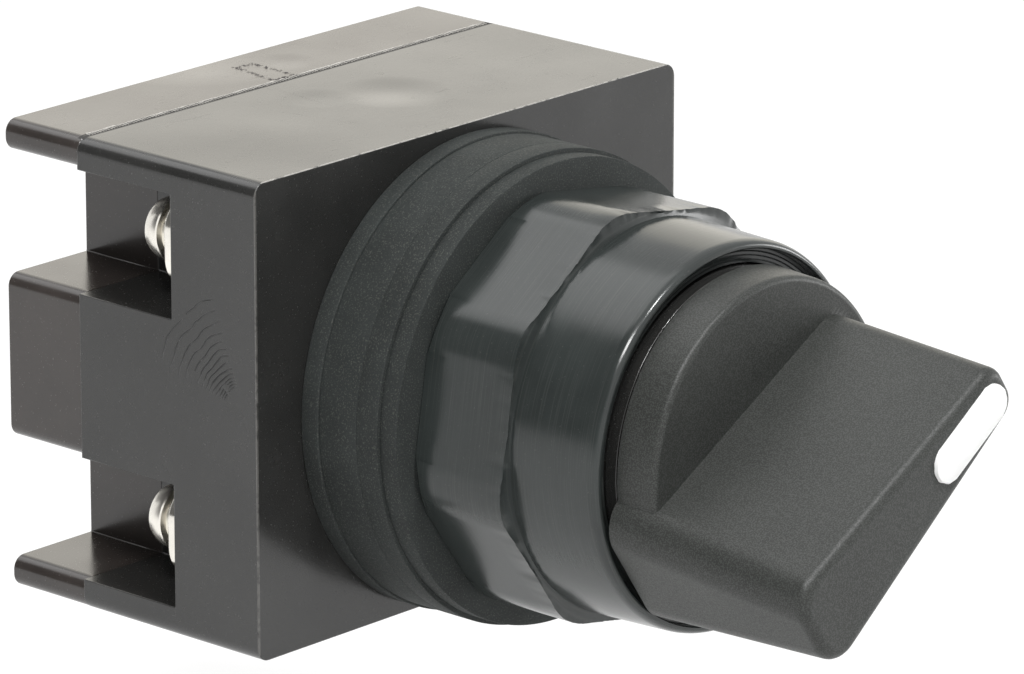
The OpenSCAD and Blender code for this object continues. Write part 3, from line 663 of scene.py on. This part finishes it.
def flatten(made):
    """Turns an object's modifiers into its plain mesh."""
    graph = bpy.context.evaluated_depsgraph_get()
    mesh = bpy.data.meshes.new_from_object(made.evaluated_get(graph))
    mesh.name = made.name
    made.modifiers.clear()
    made.data = mesh
    return made


def attach(made, material, slot, *nodes, body="housing"):
    """Gives a piece its material, and lets it stand for solids and ride on their body."""
    if material is not None:
        made.data.materials.clear()
        made.data.materials.append(material)
    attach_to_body(made, body)
    if nodes:
        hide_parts(*nodes)
    return made


def boolean(made, other, operation):
    """Joins or cuts a piece with a tool object, which is then removed."""
    modifier = made.modifiers.new("Join", "BOOLEAN")
    modifier.operation = operation
    modifier.solver = "EXACT"
    modifier.object = other
    flatten(made)
    bpy.data.objects.remove(other)
    return made


# Geometry node trees


class GeoTree(Tree):
    """A geometry tree whose inputs are set by name on a modifier."""

    def __init__(self, name, inputs):
        super().__init__(bpy.data.node_groups.new(name, "GeometryNodeTree"))
        face = self.tree.interface
        face.new_socket(name="Geometry", in_out="INPUT", socket_type="NodeSocketGeometry")
        add_sockets(self.tree, "INPUT", inputs)
        face.new_socket(name="Material", in_out="INPUT", socket_type="NodeSocketMaterial")
        face.new_socket(name="Geometry", in_out="OUTPUT", socket_type="NodeSocketGeometry")
        self.given = self.add("NodeGroupInput").outputs
        self.out = self.add("NodeGroupOutput").inputs

    def end(self, geometry):
        """Realizes the instances, sets the material and closes the tree."""
        real = self.get("GeometryNodeRealizeInstances", {"Geometry": geometry})
        done = self.get("GeometryNodeSetMaterial", {"Geometry": real, "Material": self.given["Material"]})
        self.set(self.out["Geometry"], done)
        return self.tree


def grow(made, tree, **values):
    """Runs a geometry tree on an object with its inputs set, and keeps the result as a plain mesh."""
    modifier = made.modifiers.new(tree.name, "NODES")
    modifier.node_group = tree
    for item in tree.interface.items_tree:
        key = item.name.replace(" ", "_").lower()
        if item.in_out == "INPUT" and key in values:
            modifier[item.identifier] = values[key]
    return flatten(made)


def gasket_tree():
    """A rubber ring swept round the Y axis, with soft edges and a rim that wanders a little."""
    t = GeoTree(
        "gasket_ring",
        {
            "Outer radius": 0.0213,
            "Inner radius": 0.01515,
            "Start": 0.0,
            "Thickness": 0.002,
            "Edge": 0.0003,
            "Wave": 0.0001,
            "Seed": 0.0,
        },
    )
    g = t.given
    width = t.math("SUBTRACT", g["Outer radius"], g["Inner radius"])
    middle = t.product(t.total(g["Outer radius"], g["Inner radius"]), 0.5)
    section = t.get("GeometryNodeCurvePrimitiveQuadrilateral", {"Width": width, "Height": g["Thickness"]})
    soft = {"Curve": section, "Radius": g["Edge"], "Count": 3, "Limit Radius": True}
    section = t.get("GeometryNodeFilletCurve", soft, mode="POLY")
    ring = t.get("GeometryNodeCurvePrimitiveCircle", {"Resolution": 200, "Radius": middle})
    ring = t.get("GeometryNodeCurveToMesh", {"Curve": ring, "Profile Curve": section})
    shift = t.join(y=t.total(g["Start"], t.product(g["Thickness"], 0.5)))
    ring = t.get("GeometryNodeTransform", {"Geometry": ring, "Rotation": FACE_Y, "Translation": shift})
    place = t.get("GeometryNodeInputPosition")
    parts = t.split(place)
    flat = t.join(x=parts["X"], z=parts["Z"])
    rim = t.math("GREATER_THAN", t.vector("LENGTH", flat), t.math("SUBTRACT", g["Outer radius"], 0.001))
    spot = t.vector("ADD", t.vector("MULTIPLY", place, (0.0, 3.0, 0.0)), t.join(g["Seed"], g["Seed"]))
    wander = t.noise(t.vector("ADD", place, spot), 110.0, 3.0)
    amount = t.product(t.math("SUBTRACT", wander, 0.5), g["Wave"], rim)
    offset = t.scaled(t.vector("NORMALIZE", flat), amount)
    ring = t.get("GeometryNodeSetPosition", {"Geometry": ring, "Offset": offset})
    return t.end(t.get("GeometryNodeSetShadeSmooth", {"Geometry": ring}))


def screw_tree():
    """One screw set at the four terminals, each turned about its own axis."""
    t = GeoTree("terminal_screws", {"Across": 0.0442, "Upper": 0.0147, "Lower": -0.0115, "Seed": 4})
    g = t.given
    tall = t.math("SUBTRACT", g["Upper"], g["Lower"])
    grid = {"Size X": g["Across"], "Size Y": tall, "Vertices X": 2, "Vertices Y": 2}
    grid = t.get("GeometryNodeMeshGrid", grid)
    shift = t.join(z=t.product(t.total(g["Upper"], g["Lower"]), 0.5))
    grid = t.get("GeometryNodeTransform", {"Geometry": grid, "Rotation": FACE_Y, "Translation": shift})
    turn = {"Min": (0.0, -1.35, 0.0), "Max": (0.0, -1.0, 0.0), "Seed": g["Seed"]}
    turn = t.get("FunctionNodeRandomValue", turn, data_type="FLOAT_VECTOR")
    screws = {"Points": grid, "Instance": g["Geometry"], "Rotation": turn}
    return t.end(t.get("GeometryNodeInstanceOnPoints", screws))


def weld_tree():
    """A fine bead along a line of edges, and a row of ticks beside it at an even pitch."""
    sizes = {"Bead": 0.00005, "Pitch": 0.00024, "Reach": 0.00026, "Offset": 0.00015, "Wander": 0.00006}
    t = GeoTree("seam_weld", sizes)
    g = t.given
    line = t.get("GeometryNodeMeshToCurve", {"Mesh": g["Geometry"]})
    line = t.get("GeometryNodeResampleCurve", {"Curve": line, "Length": g["Pitch"]}, mode="LENGTH")
    place = t.get("GeometryNodeInputPosition")
    stray = t.add("ShaderNodeTexNoise", {"Vector": place, "Scale": 900.0, "Detail": 2.0}).outputs["Color"]
    stray = t.scaled(t.vector("SUBTRACT", stray, (0.5, 0.5, 0.5)), g["Wander"])
    loose = t.get("GeometryNodeSetPosition", {"Geometry": line, "Offset": stray})
    section = t.get("GeometryNodeCurvePrimitiveCircle", {"Resolution": 6, "Radius": g["Bead"]})
    swell = t.remap(t.noise(place, 700.0), 0.3, 0.7, 0.4, 1.5)
    bead = {"Curve": loose, "Profile Curve": section, "Scale": swell, "Fill Caps": True}
    bead = t.get("GeometryNodeCurveToMesh", bead)
    points = t.get("GeometryNodeCurveToPoints", {"Curve": line, "Length": g["Pitch"]}, mode="LENGTH")
    shift = t.join(y=t.product(g["Offset"], -1.0))
    points = t.get("GeometryNodeSetPosition", {"Geometry": points, "Offset": shift})
    tick_size = t.join(t.product(g["Pitch"], 0.45), g["Reach"], g["Bead"])
    tick = t.get("GeometryNodeMeshCube", {"Size": tick_size})
    stretch = {"Min": (0.7, 0.7, 0.6), "Max": (1.2, 1.1, 1.3), "Seed": 7}
    stretch = t.get("FunctionNodeRandomValue", stretch, data_type="FLOAT_VECTOR")
    ticks = t.get("GeometryNodeInstanceOnPoints", {"Points": points, "Instance": tick, "Scale": stretch})
    both = t.add("GeometryNodeJoinGeometry")
    for part in (bead, ticks):
        t.set(both.inputs[0], part)
    return t.end(both.outputs[0])


# Pieces


class SWITCH_OT_finishes(bpy.types.Operator):
    """Makes the shared shader groups and gives every inner piece its material"""

    bl_idname = "switch.finishes"
    bl_label = "Finishes"

    def execute(self, context):
        GROUPS["moulded_grain"] = make_grain_group()
        GROUPS["moulded_ripple"] = make_scratch_group()
        GROUPS["worn_edges"] = make_edge_group()
        GROUPS["turning_lines"] = make_turning_group()
        metal = context.scene.switch_metal
        inner = {
            "acetal": inner_moulding("rotor_acetal", (0.7, 0.67, 0.58), 0.4),
            "red": inner_moulding("plunger_red", (0.45, 0.04, 0.025), 0.4),
            "seal": inner_moulding("seal_rubber", (0.02, 0.02, 0.02), 0.6),
            "copper": bright_metal("bridge_copper", metal.copper, 0.25),
            "silver": bright_metal("contact_silver", (0.86, 0.86, 0.85), 0.25),
            "steel": bright_metal("spring_steel", (0.62, 0.62, 0.64), 0.3),
        }
        for node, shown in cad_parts.items():
            for start, finish in INNER_FINISHES:
                if node.startswith(start):
                    shown.data.materials.clear()
                    shown.data.materials.append(inner[finish])
                    break
        return {"FINISHED"}


class SWITCH_OT_block(bpy.types.Operator):
    """Makes the two mouldings of the contact block, the weld along their seam and its scar"""

    bl_idname = "switch.block"
    bl_label = "Contact block"

    def execute(self, context):
        look = context.scene.switch_block
        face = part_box("gasket_rear")[1][1]
        low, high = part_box("rear_cover")
        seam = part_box("front_housing")[1][1]
        front_end, seam_end = (low[0], face, low[2]), (high[0], seam, high[2])
        front = moulded_black(look, "block_moulding", look.tint, front_end, seam_end, seam)
        cover = moulded_black(look, "cover_moulding", look.cover, (low[0], seam, low[2]), high, seam)
        for node, name, slot, finish in (
            ("front_housing", "block_front", "housing_black", front),
            ("rear_cover", "block_cover", "cover_black", cover),
        ):
            made = new_object(cad_copy(node, name), name)
            smooth(made.data, 32)
            round_edges(made, look.edge, 50).miter_outer = "MITER_ARC"
            level_normals(made)
            attach(made, finish, slot, node)
        self.weld(look, low, high, seam)
        scar = new_object(self.scar(seam / MM, high[2] / MM), "weld_scar")
        smooth(scar.data, 60)
        attach(scar, cover, "cover_black")
        return {"FINISHED"}

    def weld(self, look, low, high, seam):
        """The weld follows the outer edge of the seam over the top and the underside."""
        behind, end_gap, sunk = 0.0005, 0.0015, look.bead * 0.2
        bm = bmesh.new()
        for z in (high[2] - sunk, low[2] + sunk):
            ends = [(x, seam + behind, z) for x in (low[0] + end_gap, high[0] - end_gap)]
            bm.edges.new([bm.verts.new(p) for p in ends])
        made = new_object(finished_mesh(bm, "seam_line"), "seam_weld")
        grow(
            made,
            weld_tree(),
            bead=look.bead,
            pitch=look.pitch,
            reach=WELD_REACH,
            offset=0.0003,
            wander=0.00005,
            material=weld_plastic(look, seam),
        )
        attach(made, None, "housing_black")

    def scar(self, seam, top):
        """A torn patch on the cover beside the seam, rough round its border, in millimetres."""
        corners = [Vector((x, seam + y)) for x, y in SCAR_CORNERS]
        across, along, width, length_y, sunk, skirt_depth = 34, 60, 3.4, 6.3, 0.03, 0.3
        bm = bmesh.new()
        grid = []
        for j in range(along + 1):
            v = j / along
            left, right = corners[0].lerp(corners[3], v), corners[1].lerp(corners[2], v)
            row = []
            for i in range(across + 1):
                u = i / across
                p = left.lerp(right, u)
                border = min(u * width, (1 - u) * width, v * length_y, (1 - v) * length_y)
                row.append(bm.verts.new((p.x * MM, p.y * MM, (top - sunk + self.lift(p, border)) * MM)))
            grid.append(row)
        for a, b in zip(grid, grid[1:]):
            for i in range(across):
                bm.faces.new((a[i], a[i + 1], b[i + 1], b[i]))
        skirt = bmesh.ops.extrude_edge_only(bm, edges=[e for e in bm.edges if e.is_boundary])
        for v in skirt["geom"]:
            if isinstance(v, bmesh.types.BMVert):
                v.co.z = (top - skirt_depth) * MM
        bmesh.ops.contextual_create(bm, geom=[e for e in bm.edges if e.is_boundary])
        bmesh.ops.recalc_face_normals(bm, faces=bm.faces)
        return finished_mesh(bm, "weld_scar")

    def lift(self, p, border):
        """How far the torn plastic stands up at a point, most of all near the patch's border."""
        if border <= 0.0:
            return 0.0
        ridge, least = 0.45, 0.12
        torn = max(0.0, 1.0 - abs(border - ridge) / ridge) + least
        coarse = noise.noise(Vector((p.x * 2.3, p.y * 2.3, 1.0)))
        fine = noise.noise(Vector((p.x * 5.5, p.y * 5.5, 4.0)))
        return max(torn * (0.05 + 0.13 * (coarse + 0.8 * fine)), -0.02)


class SWITCH_OT_gaskets(bpy.types.Operator):
    """Makes the gasket stack"""

    bl_idname = "switch.gaskets"
    bl_label = "Gaskets"

    def execute(self, context):
        look = context.scene.switch_gasket
        material = even_finish(
            "gasket_rubber",
            look.tint,
            sizes=(5600.0, 6800.0, 0.2, 160.0),
            mottle=(0.78, 1.2),
            rough=(0.62, 0.85),
            relief=(0.00004, 0.6),
            specks=(0.4, (0.12, 0.122, 0.108)),
            by="Height",
            Specular_IOR_Level=0.3,
        )
        tree = gasket_tree()
        for i, node in enumerate(("gasket_front", "gasket_middle", "gasket_spacer", "gasket_rear")):
            low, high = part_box(node)
            made = new_object(bpy.data.meshes.new(node + "_ring"), node + "_ring")
            grow(
                made,
                tree,
                outer_radius=high[0] - look.wave * 0.6,
                inner_radius=THREAD_BORE * MM,
                start=low[1],
                thickness=high[1] - low[1],
                edge=look.edge,
                wave=look.wave,
                seed=float(i),
                material=material,
            )
            attach(made, None, "gasket_rubber", node)
        return {"FINISHED"}


class SWITCH_OT_nut(bpy.types.Operator):
    """Makes the ring nut with its flats, turned collar and burred step"""

    bl_idname = "switch.nut"
    bl_label = "Ring nut"

    def execute(self, context):
        look = context.scene.switch_nut
        steps = 576
        columns = []
        for i in range(steps):
            a = 2 * math.pi * i / steps
            columns.append([(r * math.cos(a), y, r * math.sin(a)) for r, y in self.section(a, look)])
        made = new_object(mesh_from_rows(zip(*columns), "ring_nut_turned", cap=False), "ring_nut_turned")
        smooth(made.data, 28)
        attach(made, turned_plastic(look), "nut_plastic", "ring_nut")
        return {"FINISHED"}

    def outline(self, a, half, corner, turn):
        """Distance from the axis to the outline of flats and round corners at an angle."""
        half_flat = math.radians(22.5)
        reach = (half - corner) / math.cos(half_flat)
        a = (a - turn) % (2 * half_flat) - half_flat
        arc = math.atan2(corner * math.sin(half_flat), reach + corner * math.cos(half_flat))
        if abs(a) <= arc + 1e-9:
            return reach * math.cos(a) + math.sqrt(corner**2 - (reach * math.sin(a)) ** 2)
        return half / math.cos(half_flat - abs(a))

    def ragged(self, a, seed, size):
        """A small uneven shift round the nut."""
        p = Vector((math.cos(a) * 9 + seed, math.sin(a) * 9, seed))
        return size * (noise.noise(p * 1.3) + 0.7 * noise.noise(p * 4.1) + 0.4 * noise.noise(p * 9.7))

    def section(self, a, look):
        """The nut's section at an angle as points (radius, y) in millimetres, from its rear to its thread."""
        half, burr = look.flats / 2 / MM, look.burr / MM
        r = self.outline(a, half, look.corner / MM, look.turn)
        rear_bore, crown, back, chamfer = 15.75, half + 1.3, half + 0.5, 0.12
        flat_end, slope, collar, rim = -9.94, 0.176, 17.6, 17.3
        front, soft_y, soft_r = -19.6, 1.1, 0.55
        mouth, mouth_end, thread_end = 16.5, -18.6, -0.6

        rear = -max(r - back, 0.0)
        inner = min(r, back)
        points = [(rear_bore, 0.0), (inner - chamfer, 0.0), (inner, rear - chamfer if r <= back else -0.04)]
        start, level = rear - 0.14, flat_end - (crown - r) * slope
        end = level + self.ragged(a, 3.0, burr)
        points += [(r, start + (end + chamfer - start) * k / 4) for k in range(5)]
        points.append((r + self.ragged(a, 7.0, burr * 0.35), end + 0.02))
        foot = flat_end - (crown - collar) * slope
        edge_r, edge_y, soft_start = r - 0.05, level + 0.06, front + soft_y
        points += [(edge_r + (collar - edge_r) * k / 3, edge_y + (foot - edge_y) * k / 3) for k in (1, 2, 3)]
        points += [(collar - (collar - rim) * k / 6, foot + (soft_start - foot) * k / 6) for k in range(1, 7)]
        for b in (math.radians(d) for d in (12, 24, 36, 48, 60, 75, 90)):
            points.append((rim - soft_r + soft_r * math.cos(b), soft_start - soft_y * math.sin(b)))
        points += [(mouth + chamfer, front), (mouth, front + chamfer)]
        points += [(mouth, mouth_end - 0.05), (mouth - 0.05, mouth_end)]
        for groove in (16.15, 15.8, 15.45):
            points += [(groove + 0.07, mouth_end), (groove, mouth_end + 0.09), (groove - 0.07, mouth_end)]
        return points + [(THREAD_BORE, mouth_end), (THREAD_BORE, thread_end)]


class SWITCH_OT_knob(bpy.types.Operator):
    """Makes the lever knob and its index insert"""

    bl_idname = "switch.knob"
    bl_label = "Lever knob"

    def execute(self, context):
        look = context.scene.switch_knob
        rear, disc_front, lever_front = -20.2, -24.3, -41.3
        disc_r, edge = 15.3, 0.6
        profile = [(AXIS, rear), (8.0, rear), (disc_r - 0.1, rear), (disc_r, rear - 0.1)]
        for k in range(7):
            b = math.radians(15 * k)
            profile.append((disc_r - 0.2 - edge + edge * math.cos(b), disc_front + edge - edge * math.sin(b)))
        profile.append((AXIS, disc_front))
        disc = new_object(mesh_from_rows(lathe_rows(profile, 160), "disc", cap=False), "disc")
        lever = new_object(self.lever(rear, lever_front, look.soft_edge / MM), "lever")
        made = boolean(lever, disc, "UNION")
        made.name = "knob_lever"
        round_edges(made, 0.00014, 62)
        flatten(made)
        insert = new_object(self.insert(lever_front), "index_mark")
        for piece, sharp in ((made, 50), (insert, 40)):
            piece.data.transform(Matrix.Rotation(-POINTER, 4, "Y"))
            smooth(piece.data, sharp)
        level_normals(made)
        plastic = even_finish(
            "knob_plastic",
            look.tint,
            sizes=(5200.0, 8200.0, 0.3, 110.0),
            mottle=(0.86, 1.18),
            rough=(0.36, 0.52),
            relief=(0.00004, look.grain),
            specks=(0.26, (0.13, 0.135, 0.13)),
            by="Height",
            Specular_IOR_Level=0.36,
        )
        attach(made, plastic, "knob_plastic", "knob", body="operator")
        white = even_finish(
            "index_white",
            look.index,
            sizes=(2500.0, 2000.0, 0.0, 300.0),
            mottle=(0.985, 1.0),
            rough=(0.4, 0.4),
            relief=(0.000006, 0.4),
        )
        attach(insert, white, "insert_white", "index_insert", body="operator")
        return {"FINISHED"}

    def lever(self, rear, front, edge):
        """The lever as rows round four corner circles, from inside the disc to its soft front edge."""
        taper, tail, tip_r, tail_r = math.radians(4.4), 16.3, 2.2, 3.2
        half_foot, half_front, lever_tall, disc_thick = 5.5, 3.66, 17.0, 4.1
        half_root = half_foot + (half_foot - half_front) / lever_tall * disc_thick
        k = math.tan(taper)
        root, soft = rear + 0.05, front + edge

        def circles(y, inset):
            """Corner circles at one height, pulled in by an inset."""
            up = (y - rear) / (soft - rear)
            made = []
            for x, r, lean in ((LEVER_TIP - tip_r, tip_r, 0.0), (tail_r - tail, tail_r, -0.9)):
                z0 = half_root - k * x - r / math.cos(taper)
                z1 = max(half_front - k * x - (r - 0.2) / math.cos(taper), 0.05)
                made.append((x + lean * up, z0 + (z1 - z0) * up, r - 0.2 * up - inset))
            (xt, zt, rt), (xb, zb, rb) = made
            return [(xt, zt, rt), (xb, zb, rb), (xb, -zb, rb), (xt, -zt, rt)]

        def ring(y, inset):
            """One row of points round the circles."""
            spots = circles(y, inset)
            normals = []
            for a, b in zip(spots, spots[1:] + spots[:1]):
                dx, dz = b[0] - a[0], b[1] - a[1]
                d = math.hypot(dx, dz)
                normals.append(math.atan2(dz, dx) - math.acos((a[2] - b[2]) / d))
            points = []
            for i, (x, z, r) in enumerate(spots):
                start, stop = normals[i - 1], normals[i]
                while stop < start:
                    stop += 2 * math.pi
                for s in range(15):
                    b = start + (stop - start) * s / 14
                    points.append((x + r * math.cos(b), y, z + r * math.sin(b)))
            return points

        rows = [ring(root + (soft - root) * s / 6, 0.0) for s in range(7)]
        for d in (15, 30, 45, 60, 75, 90):
            b = math.radians(d)
            rows.append(ring(soft - edge * math.sin(b), edge * (1 - math.cos(b))))
        return mesh_from_rows(rows, "lever")

    def insert(self, front):
        """The slot-shaped insert with a soft rim."""
        size, wide, soft, proud = 10.4, 1.8, 0.22, 0.4
        middle, top = LEVER_TIP - 1.1 - size / 2, front - proud
        rows = []
        for y, inset in ((front + 1.9, 0.0), (top + soft, 0.0), (top + soft * 0.3, soft * 0.3), (top, soft)):
            row = []
            for side, start in ((1, -90), (-1, 90)):
                for s in range(25):
                    b = math.radians(start + 180 * s / 24)
                    r = wide - inset + 0.07 * noise.noise(Vector((s * 0.45, side * 3.0, 1.0)))
                    row.append((middle + side * (size / 2 - wide) + r * math.cos(b), y, r * math.sin(b)))
            rows.append(row)
        return mesh_from_rows(rows, "index_mark")


class SWITCH_OT_terminals(bpy.types.Operator):
    """Makes the terminal strips and the terminal screws"""

    bl_idname = "switch.terminals"
    bl_label = "Terminals"

    def execute(self, context):
        look = context.scene.switch_metal
        nickel = bright_metal("terminal_nickel", look.nickel, 0.16)
        for node in sorted(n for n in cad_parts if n.startswith("terminal_")):
            made = new_object(cad_copy(node, node + "_strip"), node + "_strip")
            smooth(made.data, 30)
            round_edges(made, 0.00012, 50)
            level_normals(made)
            attach(made, nickel, "terminal_nickel", node)
        low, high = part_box("screw_upper_left")
        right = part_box("screw_upper_right")
        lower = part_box("screw_lower_left")
        made = new_object(self.screw(high[1] / MM), "terminal_screws")
        grow(
            made,
            screw_tree(),
            across=(right[0][0] + right[1][0]) / 2 - (low[0] + high[0]) / 2,
            upper=(low[2] + high[2]) / 2,
            lower=(lower[0][2] + lower[1][2]) / 2,
            seed=look.seed,
            material=bright_metal("screw_nickel", look.nickel, 0.24),
        )
        smooth(made.data, 30)
        screws = sorted(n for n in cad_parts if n.startswith("screw_"))
        attach(made, None, "screw_nickel", *screws)
        return {"FINISHED"}

    def screw(self, top):
        """A slotted screw with a low domed head, its top at the given height."""
        head, shank, thread, pitch = 3.0, 1.72, 0.22, 0.6
        under = top - 3.3
        profile = [(AXIS, under - 9.0), (shank - 0.4, under - 9.0), (shank, under - 8.6)]
        y = under - 8.4
        while y < under - 0.3:
            profile += [(shank, y), (shank - thread, y + 0.2), (shank, y + 0.4)]
            y += pitch
        profile.append((shank, under))
        profile += [(head - inward, under + up) for inward, up in SCREW_UNDERSIDE + SCREW_FLANK]
        dome_r, dome_start, dome_rise = head - 0.8, under + 2.6, 0.7
        for k in range(7):
            r = dome_r * (1 - k / 6)
            profile.append((max(r, AXIS), dome_start + dome_rise * (1 - (r / dome_r) ** 2)))
        made = new_object(mesh_from_rows(lathe_rows(profile, 64), "screw", cap=False), "screw_blank")
        slot_long, slot_deep, slot_wide = 8, 2.4, 0.9
        bm = bmesh.new()
        bmesh.ops.create_cube(bm, size=1.0)
        for v in bm.verts:
            v.co = Vector((v.co.x * slot_long, v.co.y * slot_deep + top, v.co.z * slot_wide)) * MM
        boolean(made, new_object(finished_mesh(bm, "slot"), "slot"), "DIFFERENCE")
        mesh = made.data
        bpy.data.objects.remove(made)
        return mesh


class SWITCH_OT_stage(bpy.types.Operator):
    """Makes the floor, the lamps, the world and the camera"""

    bl_idname = "switch.stage"
    bl_label = "Stage"

    def execute(self, context):
        look = context.scene.switch_stage
        scene = context.scene
        scene.view_settings.view_transform = "Standard"
        self.floor(look)
        self.world(scene, look)
        for name, scale, place, size, power, tint in LAMPS:
            self.lamp(name, place, size, getattr(look, scale) * power, tint)
        camera = bpy.data.cameras.new("photo_camera")
        camera.lens = CAMERA_LENS
        camera.sensor_width = 36.0
        camera.clip_start = 0.01
        camera.clip_end = 20.0
        placed = bpy.data.objects.new("photo_camera", camera)
        scene.collection.objects.link(placed)
        placed.location = CAMERA_PLACE
        placed.rotation_euler = Vector(CAMERA_AIM).to_track_quat("-Z", "Y").to_euler()
        scene.camera = placed
        return {"FINISHED"}

    def floor(self, look):
        """A wide pale floor that keeps the shadow and shows white to the camera."""
        half_size, catch_grey, glow_strength = 6.0, 0.25, 0.82
        bm = bmesh.new()
        bmesh.ops.create_grid(bm, x_segments=8, y_segments=8, size=half_size)
        mesh = finished_mesh(bm, "floor")
        mesh.transform(Matrix.Translation((0, 0, CAD_BOX[0][2] - look.drop)))
        made = new_object(mesh, "floor")
        material = bpy.data.materials.new("pale_floor")
        material.use_nodes = True
        t = Tree(material.node_tree)
        nodes = material.node_tree.nodes
        nodes.remove(nodes["Principled BSDF"])
        seen = self.rays(t)[0]
        plain = t.get("ShaderNodeBsdfDiffuse", {"Color": rgba(look.floor)})
        catch = t.get("ShaderNodeBsdfDiffuse", {"Color": rgba((catch_grey,) * 3)})
        glow = t.get("ShaderNodeEmission", {"Color": (1, 1, 1, 1), "Strength": glow_strength})
        shown = t.get("ShaderNodeAddShader", {0: catch, 1: glow})
        mixed = t.get("ShaderNodeMixShader", {0: seen, 1: plain, 2: shown})
        t.set(nodes["Material Output"].inputs["Surface"], mixed)
        made.data.materials.append(material)

    def world(self, scene, look):
        """Even light, white to the camera, with a dark screen behind on the left in reflections."""
        world = bpy.data.worlds.new("light_tent")
        world.use_nodes = True
        scene.world = world
        t = Tree(world.node_tree)
        seen, mirrored = self.rays(t)
        way = t.add("ShaderNodeTexCoord").outputs["Generated"]
        towards = t.vector("DOT_PRODUCT", way, SCREEN_SIDE)
        screen = t.product(t.remap(towards, *SCREEN_EDGE, smooth=True), mirrored)
        strength = t.remap(seen, 0.0, 1.0, look.world, 1.0)
        strength = t.product(strength, t.remap(screen, 0.0, 1.0, 1.0, look.screen))
        back = world.node_tree.nodes["Background"].inputs
        back["Color"].default_value = (1, 1, 1, 1)
        t.set(back["Strength"], strength)

    def rays(self, t):
        """Masks of the rays that the camera sees or that are mirrored, and of the mirrored ones."""
        path = t.add("ShaderNodeLightPath").outputs
        mirrored = t.math("MAXIMUM", path["Is Glossy Ray"], path["Is Transmission Ray"])
        return t.math("MAXIMUM", path["Is Camera Ray"], mirrored), mirrored

    def lamp(self, name, place, size, power, tint):
        """A soft rectangular lamp that points at the switch."""
        light = bpy.data.lights.new(name, "AREA")
        light.shape = "RECTANGLE"
        light.size, light.size_y = size
        light.energy = power
        light.color = tint
        made = bpy.data.objects.new(name, light)
        bpy.context.scene.collection.objects.link(made)
        made.location = place
        made.rotation_euler = Vector(place).to_track_quat("Z", "Y").to_euler()


class SWITCH_PT_panel(bpy.types.Panel):
    """The switch's pieces and their looks"""

    bl_label = "Selector switch"
    bl_idname = "SWITCH_PT_panel"
    bl_space_type = "VIEW_3D"
    bl_region_type = "UI"
    bl_category = "Switch"

    def draw(self, context):
        for key, look in LOOKS.items():
            box = self.layout.box()
            for prop in look.__annotations__:
                box.prop(getattr(context.scene, key), prop)
        for step in STEPS:
            self.layout.operator(step.bl_idname)


STEPS = [
    SWITCH_OT_finishes,
    SWITCH_OT_block,
    SWITCH_OT_gaskets,
    SWITCH_OT_nut,
    SWITCH_OT_knob,
    SWITCH_OT_terminals,
    SWITCH_OT_stage,
]


def register():
    """Registers the looks, the operators and the panel."""
    for cls in list(LOOKS.values()) + STEPS + [SWITCH_PT_panel]:
        bpy.utils.register_class(cls)
    for key, cls in LOOKS.items():
        setattr(bpy.types.Scene, key, PointerProperty(type=cls))


def unregister():
    """Takes everything that register added away again."""
    for key in LOOKS:
        delattr(bpy.types.Scene, key)
    for cls in reversed(list(LOOKS.values()) + STEPS + [SWITCH_PT_panel]):
        bpy.utils.unregister_class(cls)


def main():
    """Makes the whole switch."""
    register()
    for step in STEPS:
        getattr(bpy.ops.switch, step.bl_idname.split(".")[1])()


if __name__ == "__main__":
    main()
